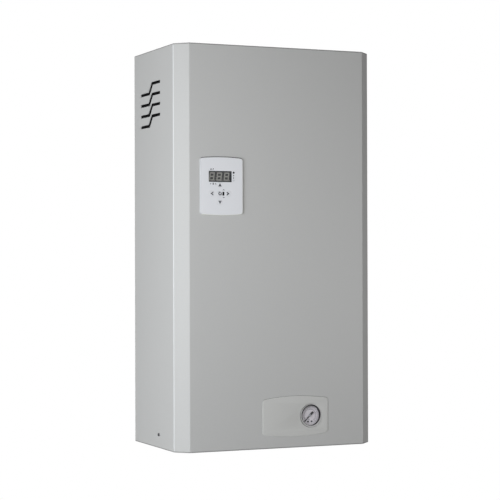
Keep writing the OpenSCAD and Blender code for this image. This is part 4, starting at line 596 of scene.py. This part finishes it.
def coverPlan(c, sideLine, frontLine):
    # plan of the case drawn in by an inset: columns on each side, an arc at each bend, columns on the front
    half, deep, leg0 = case["width"] / 2, case["depth"], case["bevel"]
    shallowest = 0.02 * mm

    def plan(drawnIn):
        leg = leg0 - drawnIn * (2 - math.sqrt(2))
        r = max(case["bend"] - drawnIn, shallowest)
        reach = r * math.tan(math.radians(22.5))
        w, d = half - drawnIn, deep - drawnIn
        corners = [(-w, leg - d, 90), (leg - w, -d, 45), (w - leg, -d, 0), (w, leg - d, -45)]
        parts = [np.stack([np.full(len(sideLine), -w), -sideLine], -1)]
        parts.append(np.array([[-w, leg - d + reach + c["hold"]]]))
        for k, (x, y, t) in enumerate(corners):
            # the arc turns by 45 degrees; its centre lies inwards along the bisector
            bis = math.radians(t - 22.5)
            inwards = np.array([math.sin(bis), math.cos(bis)])
            middle = np.array([x, y]) + r / math.cos(math.radians(22.5)) * inwards
            a = np.radians(np.linspace(t, t - 45, c["arcSteps"]))
            arc = middle - r * np.stack([np.sin(a), np.cos(a)], -1)
            if k == 1 or k == 3:
                way = arc[0] - parts[-1][-1]
                parts.append((arc[0] - c["hold"] * way / np.linalg.norm(way))[None])
            parts.append(arc)
            if k == 0 or k == 2:
                x2, y2, _ = corners[k + 1]
                way = np.array([x2, y2]) - np.array([x, y])
                parts.append((arc[-1] + c["hold"] * way / np.linalg.norm(way))[None])
            if k == 1:
                parts.append(np.array([[arc[-1][0] + c["hold"], -d]]))
                parts.append(np.stack([frontLine, np.full(len(frontLine), -d)], -1))
                parts.append(np.array([[w - leg - reach - c["hold"], -d]]))
        parts.append(np.array([[w, leg - d + reach + c["hold"]]]))
        parts.append(np.stack([np.full(len(sideLine), w), -sideLine[::-1]], -1))
        return np.concatenate(parts)

    return plan


def slotLines(s):
    # how far from the wall a slot starts, begins and ends its slant, and ends; and how far the bends of its
    # edges lie from those of its middle line
    start = s["rear"]
    slantStart = start + s["rearRun"]
    slantEnd = slantStart + s["slant"]
    apart = s["width"] / 2 * math.tan(math.atan2(s["rise"], s["slant"]) / 2) + s["slantMore"]
    return start, slantStart, slantEnd, slantEnd + s["frontRun"], apart


def coverRows(c):
    # rows of the sheet as (height, slot, edge): edge is -1 under a slot, 1 over it, 2 between two slots and
    # 0 elsewhere
    s = c["slot"]
    halfWidth = s["width"] / 2
    bottom, top = case["bottom"] / mm, case["top"] / mm
    _, pz, _, ph = c["panelHole"]
    _, gz, _, gs = c["gaugeHole"]
    gaugeLine = gz + np.linspace(-gs, gs, c["gaugeSteps"] + 1)
    rows = [(bottom + z, None, 0) for z in [*gaugeLine, pz - ph / 2, pz + ph / 2]]
    for i in range(s["count"]):
        z = top - s["drop"] - s["rise"] - i * s["pitch"]
        rows += [(z - halfWidth, i, -1), (z + halfWidth, i, 1)]
        if i:
            rows.append((z + s["pitch"] / 2, None, 2))
    rows.sort(key=lambda q: q[0])
    fold, hold = c["fold"] / mm, c["hold"] / mm
    low = [(bottom + fold, None, 0), (bottom + fold + hold, None, 0)]
    return low + rows + [(top - fold - hold, None, 0), (top - fold, None, 0)]


def slotRise(s, distance, edge):
    # what a row adds to its height at a distance from the wall: the slant's rise, less the rounded ends
    start, slantStart, _, end, apart = slotLines(s)
    r = s["endRound"]
    sign = {1: 1, -1: -1, 2: 0}[edge]
    lift = np.clip((distance - slantStart + sign * apart) / s["slant"], 0, 1) * s["rise"]
    inside = np.minimum(distance - start, end - distance)
    atEnd = (inside > -1e-6) & (inside < r)
    short = np.where(atEnd, r - np.sqrt(np.maximum(r * r - (r - inside) ** 2, 0)), 0)
    return lift - sign * short


def gaugeSurround(c):
    # from the square round the gauge to its round hole: a point of each, at equal shares of the turn
    gx, gz, gr, gs = c["gaugeHole"]
    n = c["gaugeSteps"]
    u = np.linspace(-gs, gs, n + 1)[:-1]
    level = np.full(n, gs)
    square = np.concatenate([np.stack(q, -1) for q in ((level, u), (-u, level), (-level, -u), (u, -level))])
    turn = np.radians(np.arange(4 * n) * 90 / n - 45)
    circle = gr * np.stack([np.cos(turn), np.sin(turn)], -1)
    ring = np.stack([square, (square + circle) / 2, circle])
    height = case["bottom"] / mm + gz + ring[..., 1]
    points = np.stack([(gx + ring[..., 0]) * mm, np.full(ring.shape[:2], -case["depth"]), height * mm], -1)
    return points.reshape(-1, 3), gridQuads(3, 4 * n, closeColumns=True)


def makeCover(c):
    # the folded sheet as one grid: rows from the hem under the case to the middle of its top, columns round
    # the plan from the left rear edge to the right one; cells in the slots and openings are left out
    s = c["slot"]
    start, slantStart, slantEnd, end, apart = slotLines(s)
    ends = [q * s["endRound"] for q in (0, 0.12, 0.4, 1)]
    bends = [q + way * apart for q in (slantStart, slantEnd) for way in (-1, 1)]
    slotLine = [start + q for q in ends] + bends + [end - q for q in ends]
    sideLine = np.array(sorted(c["sideColumns"] + slotLine)) * mm
    px, pz, pw, ph = c["panelHole"]
    gx, gz, _, gs = c["gaugeHole"]
    gaugeLine = (gx + np.linspace(-gs, gs, c["gaugeSteps"] + 1)).tolist()
    frontLine = np.array(sorted([px - pw / 2, px + pw / 2] + gaugeLine)) * mm
    plan = coverPlan(c, sideLine, frontLine)
    across = plan(0)
    distance = -across[:, 1] / mm
    onSide = np.abs(across[:, 0]) > case["width"] / 2 - 1e-9
    rows = coverRows(c)
    heights = []
    for z, which, edge in rows:
        rise = np.where(onSide, slotRise(s, distance, edge), 0) if edge else 0
        heights.append((np.full(len(across), float(z)) + rise) * mm)
    heights = np.array(heights)
    wall = np.concatenate([np.broadcast_to(across, heights.shape + (2,)), heights[..., None]], -1)
    # fold over the top and under the bottom: inset r (1 - cos t), height r sin t
    turn = np.radians(np.linspace(0, 90, c["foldSteps"] + 1))[1:]
    topZ, lowZ = case["top"] - c["fold"], case["bottom"] + c["fold"]

    def levelled(line, height):
        return np.column_stack([line, np.full(len(line), height)])

    def folded(level, way):
        r = c["fold"]
        return [levelled(plan(r * (1 - math.cos(q))), level + way * r * math.sin(q)) for q in turn]

    over, under = folded(topZ, 1), folded(lowZ, -1)[::-1]
    brink = plan(c["fold"] + c["hold"])
    rear = np.array([0, -case["rear"]])
    cap = [levelled(brink * (1 - q) + rear * q, case["top"]) for q in c["capShares"]]
    hem = [levelled(line, case["bottom"]) for line in (plan(c["flange"]), brink)]
    grid = np.stack(hem + under + list(wall) + over + cap)
    first = len(hem) + len(under)
    quads = gridQuads(grid.shape[0], grid.shape[1])
    row, column = np.divmod(np.arange(len(quads)), grid.shape[1] - 1)
    middle = (grid[row, column] + grid[row + 1, column + 1]) / 2 / mm
    # cells that stay: outside the slots of both sides and the openings of the front
    keep = np.ones(len(quads), bool)
    inSlot = (-middle[:, 1] > start) & (-middle[:, 1] < end)
    inSlot &= np.abs(middle[:, 0]) > case["width"] / 2 / mm - c["touch"]
    for i in range(s["count"]):
        slotRow = [r[1:] for r in rows].index((i, -1))
        keep &= ~((row - first == slotRow) & inSlot)
    onFace = -middle[:, 1] > case["depth"] / mm - c["touch"]
    x, z = middle[:, 0], middle[:, 2] - case["bottom"] / mm
    keep &= ~(onFace & (np.abs(x - px) < pw / 2) & (np.abs(z - pz) < ph / 2))
    keep &= ~(onFace & (np.abs(x - gx) < gs) & (np.abs(z - gz) < gs))
    # which paint each cell has: the bend beside the left side gets a painted highlight, the folded edges a
    # painted shade
    bend, last = len(sideLine), first + len(wall) - 1
    paintedHighlightCells = (column > bend) & (column < bend + c["arcSteps"]) & (row >= first) & (row < last)
    paintedShadeCells = ((row >= len(hem) - 1) & (row < first + 1)) | ((row >= last - 1) & (row < last + 1 + len(over)))
    paint = np.where(paintedShadeCells, 2, np.where(paintedHighlightCells, 1, 0))[keep]
    sheets = [(grid.reshape(-1, 3), quads[keep][paint == k]) for k in range(3)]
    paints = [finishes["case_paint"], bendPaintedHighlight, foldPaintedShade]
    piece = makePiece("coverSheet", [*sheets, gaugeSurround(c)], "cover", paints, ["cover"],
                      which=[0, 1, 2, 0], outward=False)
    thickness = piece.modifiers.new("sheet", "SOLIDIFY")
    thickness.thickness = case["sheet"]
    thickness.offset = -1
    bake(piece)


ventScreen = {"x": 188.4, "thick": 0.3, "y": (-148, -28), "z": (-76, 20), "corner": 4}


def makeVentScreens(c):
    # black mesh glued behind the slots of both sides, near black so that it also stands in as painted shade
    # for the dark inside of the case
    (y0, y1), (z0, z1) = c["y"], c["z"]
    outline = shifted(roundRect(y1 - y0, z1 - z0, c["corner"]), (y0 + y1) / 2, (z0 + z1) / 2)
    parts = []
    for way in (-1, 1):
        place = lambda p: np.stack([way * (c["x"] + p[:, 2]), p[:, 0], p[:, 1]], -1) * mm
        parts += slab(outline, 0, c["thick"], place)
    makePiece("ventScreens", parts, "cover", [ventMeshAndShade])


makeCover(coverSheet)
makeVentScreens(ventScreen)
print("cover made")


# Control panel

panel = {  # millimetres from the panel's middle, heights from the front sheet
    "middle": (-109.2, -178), "width": 80.2, "height": 97, "bulge": 2.1, "corner": 4, "raise": 3.2,
    "edge": 0.9, "wall": 2.2, "lip": 0.25, "gap": 0.2,
    "shadeStrip": (0.8, 1.0, 0.02, 0.6),  # a dark rubber strip as painted shade at the top and right: shift to the right and up, from and to which height
    "skirt": (60, 82), "skirtWall": 1.8, "skirtDepth": 14,
    "window": (-2.25, 16.85), "windowSize": (43.6, 19), "windowCorner": 1, "windowTop": 2.9,
    "windowEdge": 0.25, "flange": (0.9, 1),  # how far out, and how thick
    "lights": [(22.9, 23.8), (22.9, 10.4)], "lightRadius": 1.9, "lightRound": 0.5, "strip": (6.7, 3.2, 6.5),
    "stripCorner": (0.2, 3), "stripHoleCorner": (0.3, 8), "stripEdge": 0.1, "sunk": 0.1, "back": -8,
}
keypad = {
    "middle": (-3.3, -13), "pitch": 15.3, "radius": 4.5, "play": 0.2, "low": -1.0, "top": 3.4, "stem": 1.6,
    "edge": 0.3, "hold": 0.2, "earLow": 0.3, "ear": (0.2, 5.4, 1.2, 0.2),  # reach, height, thickness, corner
    "arrowUp": (3.1, 5.9, 2.5), "arrowSide": (3.5, 5.3, 2.2),  # spread, rise and stroke
    "ring": (3.1, 1.5, 125, 415, 40), "bar": (1.4, 2.8, 0.3, 3), "barPlace": (-0.3, 2),
}
keyWays = {"button_up": (0, 1), "button_down": (0, -1), "button_left": (-1, 0), "button_right": (1, 0),
           "button_ok": (0, 0)}


def stripOutline(c, k, corner, steps, grow=0.0):
    # the outline of the indicator window beside the middle key, or of its hole
    (kx, ky), (right, w, h) = k["middle"], c["strip"]
    return shifted(roundRect(w + grow, h + grow, corner, steps), kx + right, ky)


def makePanelFrame(c, k):
    # a curved front with rounded borders, over a skirt that goes through the sheet, and a dark rubber strip
    # under it that peeks out at the top and right as painted shade
    place = onFront(*c["middle"])
    outer = pillowOutline(c["width"], c["height"], c["bulge"], c["corner"])
    kx, ky = k["middle"]
    w, h = (v + c["gap"] for v in c["windowSize"])
    holes = [shifted(roundRect(w, h, c["windowCorner"]), *c["window"]),
             stripOutline(c, k, *c["stripHoleCorner"], c["gap"])]
    holes += [circleOutline(k["radius"] + k["play"], 40, kx + i * k["pitch"], ky + j * k["pitch"])
              for i, j in keyWays.values()]
    holes += [circleOutline(c["lightRadius"] + c["gap"] / 2, 24, x, y) for x, y in c["lights"]]
    inside, deep = c["raise"] - c["wall"], -c["skirtDepth"]
    skirtOut = roundRect(*c["skirt"], c["corner"])
    skirtIn = inset(skirtOut, c["skirtWall"])
    parts = softSlab(outer, 0, c["raise"], c["edge"], place)[:1]
    parts += softSlab(outer, inside, c["raise"], c["edge"], place, holes, lip=c["lip"])[1:]
    parts += [face(skirtIn, holes, inside, place), rim(skirtIn, [(0, inside), (0, deep)], place),
              face(skirtOut, [skirtIn], deep, place), rim(skirtOut, [(0, deep), (0, 0)], place),
              face(outer, [skirtOut], 0, place)]
    # the dark strip peeks out at the top and right only, standing in for the shade round the frame
    right, up, low, high = c["shadeStrip"]
    shadeStrip = slab(shifted(outer, right, up), low, high, place, [skirtOut])
    paints = [finishes["white_plastic"], finishes["rubber"], panelEdgePaintedShade, panelEdgePaintedHighlight]
    which = [2] + [0] * (len(parts) - 1) + [1] * len(shadeStrip)
    shell = makePiece("panelFrame", parts + shadeStrip, "cover", paints, ["control_bezel"],
                      which=which)
    # painted shade on the left border, painted highlight on the right and lower ones
    paintBorder(shell, 2, 2, 3, 3)


def makeKeys(c, k):
    # round caps with two ears that hold them behind the panel's face, each with its printed sign
    kx, ky = k["middle"]
    r, low, top, edge, earLow = k["radius"], k["low"], k["top"], k["edge"], k["earLow"]
    reach, tall, thick, corner = k["ear"]
    for name, (i, j) in keyWays.items():
        place = onFront(c["middle"][0] + kx + i * k["pitch"], c["middle"][1] + ky + j * k["pitch"])
        rounded = [*quarter(r - edge, top - edge, edge, 15, 90), (r - edge - k["hold"], top), (0, top)]
        foot = [(0, low), (k["stem"], low), (k["stem"], earLow), (r, earLow), (r, top - edge)]
        cap = lathe(foot + rounded, place, 48)
        ears = slab(roundRect(2 * r + 2 * reach, tall, corner, 3), earLow, earLow + thick, place)
        if name == "button_ok":
            marks = [arcBand(*k["ring"]), shifted(roundRect(*k["bar"]), *k["barPlace"])]
        else:
            arrow = chevron(*(k["arrowUp"] if j else k["arrowSide"]))
            marks = [turned(arrow, math.degrees(math.atan2(j, i)) - 90)]
        ink = printed(marks, top, place)
        paints = [finishes["white_plastic"], printInk]
        makePiece(name + "Cap", [cap, *ears, *ink], name, paints, [name],
                  which=[0] * (1 + len(ears)) + [1] * len(ink))


panelMarks = {  # plain marks beside the display and the keys, placed from the panel's middle
    "drop": (1.35, 2.1),  # radius, and height of its tip
    "drops": [(1, (-20.05, 29.35)), (1.15, (-16.05, 3.95))],  # scale and place
    "bars": [((1.2, 3.2, 0.2, 3), -14, (-15.95, 29.65)), ((2.6, 1.1, 0.2, 3), 0, (-20.85, 3.75)),
             ((1.2, 2.6, 0.2, 3), 60, (-11.45, 3.65)), ((1.8, 1.9, 0.5, 4), 0, (22.6, 18.7)),
             ((1.3, 2.4, 0.2, 3), -14, (22.4, 14.6))],  # width, height, corner and its steps, turn, place
    "arrow": (2.4, 2.2, 1.3),
    "arrows": [(0, (3.7, -6.2)), (180, (3.7, -19.8))],
}


def makePanelPrint(c, m):
    place = onFront(*c["middle"])
    # drops are arcs that come to a point, and the rest bars and chevrons, each turned and moved to its place
    radius, tip = m["drop"]
    drop = np.array([*quarter(0, 0, radius, 200, 340, 10), (0, tip)])
    dark = [shifted(scale * drop, *at) for scale, at in m["drops"]]
    dark += [shifted(turned(roundRect(*size), turn), *at) for size, turn, at in m["bars"]]
    pale = [shifted(turned(chevron(*m["arrow"]), turn), *at) for turn, at in m["arrows"]]
    parts = [printed(dark, c["raise"], place), printed(pale, c["raise"], place)]
    makePiece("panelPrint", parts[0] + parts[1], "cover", [printInk, paleInk],
              which=[0] * len(parts[0]) + [1] * len(parts[1]))


def makeWindow(c):
    # a smoked pane with a flange behind the panel's face
    place = onFront(c["middle"][0] + c["window"][0], c["middle"][1] + c["window"][1])
    w, h = c["windowSize"]
    grow, thick = c["flange"]
    back = c["raise"] - c["wall"]
    pane = roundRect(w, h, c["windowCorner"])
    flange = roundRect(w + 2 * grow, h + 2 * grow, c["windowCorner"])
    parts = softSlab(pane, back, c["windowTop"], c["windowEdge"], place)
    parts += [face(flange, [pane], back, place), rim(flange, [(0, back), (0, back - thick)], place),
              face(flange, [], back - thick, place)]
    makePiece("displayPane", parts, "cover", [finishes["smoked_window"]], ["display_window"])


digits = {  # millimetres from the window's middle
    "body": (40.2, 19, 7.3), "corner": 0.4, "shift": -1.5, "front": -0.35, "height": 14.2, "width": 9.5,
    "pitch": 13.8, "lean": 7, "stroke": 2.2, "gap": 0.15, "count": 3, "raise": 0.2, "mask": (45, 20.4, 0.8),
    "maskGap": 0.1, "offset": 0.55, "point": 0.8, "pointAway": 1.3,
}


def makeDigits(c, d):
    # seven mitred strokes to a digit, drawn for one quarter or half of it, mirrored, and leaned over by a
    # share of the height
    place = onFront(c["middle"][0] + c["window"][0] + d["shift"], c["middle"][1] + c["window"][1], d["front"])
    w, h, deep = d["body"]
    body = slab(roundRect(w, h, d["corner"], 3), -deep, 0, place)
    wide, tall, thin = d["mask"]
    hole = roundRect(w + d["maskGap"], h + d["maskGap"], d["corner"], 3)
    mask = slab(shifted(roundRect(wide, tall, d["corner"], 3), -d["shift"], 0), -thin, 0, place, [hole])
    x, y, s, g = d["width"] / 2, d["height"] / 2, d["stroke"], d["gap"]
    top = np.array([(x - g, y), (g - x, y), (s - x, y - s + g), (x - s, y - s + g)])
    upright = np.array([(s - g - x, y - s), (-x, y - g), (-x, g), (s / 2 - x, g), (s - g - x, s / 2)])
    bar = np.array([(s / 2 - x + g, 0), (s - x, -s / 2), (x - s, -s / 2), (x - s / 2 - g, 0), (x - s, s / 2),
                    (s - x, s / 2)])
    flip, drop = np.array([-1, 1]), np.array([1, -1])
    drawn = [top, (top * drop)[::-1], bar, upright, (upright * flip)[::-1], (upright * drop)[::-1],
             upright * flip * drop]
    lean = math.tan(math.radians(d["lean"]))
    strokes = []
    for i in range(d["count"]):
        across = (i - (d["count"] - 1) / 2) * d["pitch"] + d["offset"]
        strokes += [np.column_stack([o[:, 0] + o[:, 1] * lean + across, o[:, 1]]) for o in drawn]
        strokes.append(circleOutline(d["point"], 20, across + x + d["pointAway"] - y * lean, d["point"] - y))
    unlit = printed(strokes, 0, place, d["raise"])
    makePiece("digitDisplay", body + unlit + mask, "cover",
              [finishes["module_plastic"], segmentGrey, displayMask], ["display_module"],
              which=[0] * len(body) + [1] * len(unlit) + [2] * len(mask))


def makeLights(c, k):
    # two round light pipes with domed heads, and the flat indicator window beside the middle key
    place = onFront(*c["middle"])
    low, top, r, dome = c["back"], c["raise"] - c["sunk"], c["lightRadius"], c["lightRound"]
    profile = [(0, low), (r, low), *quarter(r - dome, top - dome, dome, 0, 90), (0, top)]
    points, faces = lathe(profile, lambda q: q, 24)
    pipes = [(place(points + np.array([x, y, 0])), faces) for x, y in c["lights"]]
    strip = stripOutline(c, k, *c["stripCorner"])
    bar = [*softSlab(strip, low, top, c["stripEdge"], place), face(strip, [], low, place)]
    makePiece("lightPipes", pipes + bar, "cover", [darkLens, paleLens, blackLens],
              ["indicator_lights"], which=[0, 1] + [2] * len(bar))


makePanelFrame(panel, keypad)
makeKeys(panel, keypad)
makePanelPrint(panel, panelMarks)
makeWindow(panel)
makeDigits(panel, digits)
makeLights(panel, keypad)
print("control panel made")


# Lower plate and gauge

lowerPlate = {  # millimetres from the plate's middle, heights from the front sheet
    "middle": (33, -584.4), "width": 129.4, "height": 61.7, "bulge": 5.4, "corner": 5, "raise": 0.8,
    "lip": 0.4,
    "edge": [(0, 0), (0, 0.15), (0.35, 0.4), (1, 0.6), (1.8, 0.74), (2.6, 0.8)],  # how far in, and how high
    "shadeStrip": (0, 0.25, 0.02, 0.2),  # a dark rubber strip as painted shade at the top: shift to the right and up, from and to which height
    "gauge": 30, "hole": 21.05,
    "clips": [(-50.7, -16.85), (0, -16.85), (-50.7, 16.85), (0, 16.85)],
    "clip": [(0, 0), (2, 0), (2, -5.4), (1.4, -6), (0, -6)],  # radius and height
}


def makeLowerPlate(c):
    # a plate that falls softly to its border, round the gauge, with four clips behind it and a dark rubber
    # strip under it that peeks out at the top as painted shade
    place = onFront(*c["middle"])
    outline = pillowOutline(c["width"], c["height"], c["bulge"], c["corner"])
    hole = circleOutline(c["hole"], 72, c["gauge"], 0)
    lip, top = c["lip"], c["raise"]
    parts = [rim(outline, c["edge"], place), face(outline, [hole], 0, place),
             rim(hole, [(-lip, top), *quarter(-lip, top - lip, lip, 90, 0, 4), (0, 0)], place),
             face(inset(outline, c["edge"][-1][0]), [inset(hole, -lip)], top, place)]
    # the dark strip peeks out at the top only, standing in for the shade along the plate's top
    right, up, low, high = c["shadeStrip"]
    shadeStrip = slab(shifted(outline, right, up), low, high, place, [hole])
    points, faces = lathe(c["clip"], lambda q: q, 20)
    parts += [(place(points + np.array([x, y, 0])), faces) for x, y in c["clips"]]
    paints = [platePaint, finishes["rubber"], plateBorderPaintedLight]
    which = [2] + [0] * (len(parts) - 1) + [1] * len(shadeStrip)
    plate = makePiece("lowerPlate", parts + shadeStrip, "cover", paints, ["badge_plate"], which=which)
    # painted light on the plate's right border, which faces away from the lamps
    paintBorder(plate, 2, 0, 2, 0)


gauge = {  # millimetres from the gauge's middle, heights from the front sheet
    "middle": (63, -584.4), "radius": 20.9, "front": 3.5, "glassTop": 1.9, "round": 0.6, "seat": 20,
    "low": -2, "chamfer": 0.2,
    "cup": (19.0, -0.9, 1.2), "mouth": (17.7, 0, 0),  # radius and middle of the black cup's rim and foot; the rim is set off-centre, up and left, so the black slope is widest at the top as painted shadow of the lip
    "lens": (19.0, 0.7), "dial": (17.6, -3.9, 0.5), "bore": 1.2, "ink": 0.03, "paleInk": 0.02,
    "bands": [(16.2, 15.9, -45, 225, 60), (12.6, 10.4, -45, 225, 60)],
    "ticks": 40, "tickEach": 10, "longTick": (2.6, 0.35, 14.6), "shortTick": (1.5, 0.18, 15.15),
    "numbers": (5, 11.2, 2.6), "unit": ("bar", -1.5, -7.4),
    "dots": [(-3.6, -11), (3.6, -10.8)], "dot": 1.6, "zero": 225, "sweep": 270,
    "needle": {"tip": 15, "width": 2.1, "point": 1.1, "tail": (2.6, 8.6, 4), "hub": 2.2, "low": -3.3,
               "top": -2.7, "cap": 0.5, "capEdge": (0.4, 0.2), "shaft": (1.0, -9)},
}


def lettering(text, size, x, y):
    # a short text as flat faces about the point x, y
    data = bpy.data.curves.new("number", "FONT")
    data.body, data.size = text, size
    data.align_x = data.align_y = "CENTER"
    data.resolution_u = 3
    holder = bpy.data.objects.new("number", data)
    bpy.context.scene.collection.objects.link(holder)
    bpy.context.view_layer.update()
    mesh = bpy.data.meshes.new_from_object(holder.evaluated_get(bpy.context.evaluated_depsgraph_get()))
    points = np.empty(len(mesh.vertices) * 3)
    mesh.vertices.foreach_get("co", points)
    faces = [list(f.vertices) for f in mesh.polygons]
    bpy.data.objects.remove(holder)
    bpy.data.curves.remove(data)
    bpy.data.meshes.remove(mesh)
    return points.reshape(-1, 3) + np.array([x, y, 0]), faces


def makeGauge(g):
    # a bright ring with a black cup in it, the lens at the cup's foot; neither ring nor lens shades the dial,
    # and the cup's off-centre black slope is painted shadow at the dial's top
    place = onFront(*g["middle"])
    r, top, edge, seat, low, glass = (g[k] for k in ("radius", "front", "round", "seat", "low", "glassTop"))
    (cupR, *cupRimShadowShift), (mouthR, *mouthAt), cut = g["cup"], g["mouth"], g["chamfer"]
    profile = [(seat, glass), (seat, low), (r - cut, low), (r, low + cut), (r, top - edge),
               *quarter(r - edge, top - edge, edge, 12, 90, 7)]
    ring = ringRows([(*q, 0, 0) for q in profile] + [(cupR, top, *cupRimShadowShift)], place)
    cup = ringRows([(cupR, top, *cupRimShadowShift), (cupR - cut, top - cut, *cupRimShadowShift), (mouthR, glass, *mouthAt),
                    (seat, glass, 0, 0)], place)
    paints = [finishes["chrome"], finishes["gauge_black"]]
    bezel = makePiece("gaugeRing", [ring, cup], "chassis", paints, ["gauge_bezel"], which=[0, 1])
    lensR, lensLow = g["lens"]
    lens = lathe([(0, lensLow), (lensR, lensLow), (lensR, glass), (0, glass)], place, 96)
    pane = makePiece("gaugeLens", [lens], "chassis", [finishes["glass"]], ["gauge_lens"])
    bezel.visible_shadow = pane.visible_shadow = False


def makeDial(g):
    # a pale disc with a plain scale: ticks and numbers at equal shares of the sweep, counted clockwise
    place = onFront(*g["middle"])
    r, top, thick = g["dial"]
    bore, ink, back = g["bore"], g["ink"], top - thick
    disc = lathe([(bore, back), (r, back), (r, top), (bore, top), (bore, back)], place, 96)
    marks = printed([circleOutline(g["dot"], 20, x, y) for x, y in g["dots"]], top, place, ink)
    for k in range(g["ticks"] + 1):
        long, wide, away = g["shortTick"] if k % g["tickEach"] else g["longTick"]
        tick = shifted(roundRect(long, wide, 0.05, 2), away, 0)
        marks += slab(turned(tick, g["zero"] - g["sweep"] * k / g["ticks"]), top, top + ink, place)
    count, away, size = g["numbers"]
    words = []
    for k in range(count):
        a = math.radians(g["zero"] - g["sweep"] * k / (count - 1))
        words.append(lettering(str(k), size, away * math.cos(a), away * math.sin(a)))
    unit, x, y = g["unit"]
    words.append(lettering(unit, size, x, y))
    marks += [(place(p + np.array([0, 0, top + ink])), f) for p, f in words]
    pale = printed([arcBand(*band) for band in g["bands"]], top, place, g["paleInk"])
    paints = [finishes["dial_face"], printInk, dialInk]
    makePiece("gaugeDial", [disc, *marks, *pale], "chassis", paints, ["gauge_dial"],
              which=[0] + [1] * len(marks) + [2] * len(pale))


def makeNeedle(g):
    # a thin tapered tip one way, a broad counterweight the other, and a grey hub cap
    place = onFront(*g["middle"])
    n = g["needle"]
    near, far, broad = n["tail"]
    half, point, end, low, top = n["width"] / 2, n["point"] / 2, n["tip"], n["low"], n["top"]
    tip = np.array([(end, -point), (end, point), (near, half), (0, half), (0, -half), (near, -half)])
    tail = np.array([(0, half), (-near, broad / 2), (-far, broad / 2), (-far, -broad / 2),
                     (-near, -broad / 2), (0, -half)])
    parts = [part for o in (tip, tail) for part in slab(turned(o, g["zero"]), low, top, place)]
    (r, deep), wide, high, (inwards, over) = n["shaft"], n["hub"], top + n["cap"], n["capEdge"]
    cap = [(0, high), (wide - inwards, high), (wide, top + over), (wide, low)]
    hub = lathe(cap + [(r, low), (r, deep), (0, deep)], place, 32)
    paints = [finishes["gauge_black"], finishes["knob_plastic"]]
    makePiece("gaugeNeedle", parts + [hub], "gauge_pointer", paints, ["gauge_pointer"],
              which=[0] * len(parts) + [1])


makeLowerPlate(lowerPlate)
makeGauge(gauge)
makeDial(gauge)
makeNeedle(gauge)
print("lower plate and gauge made")
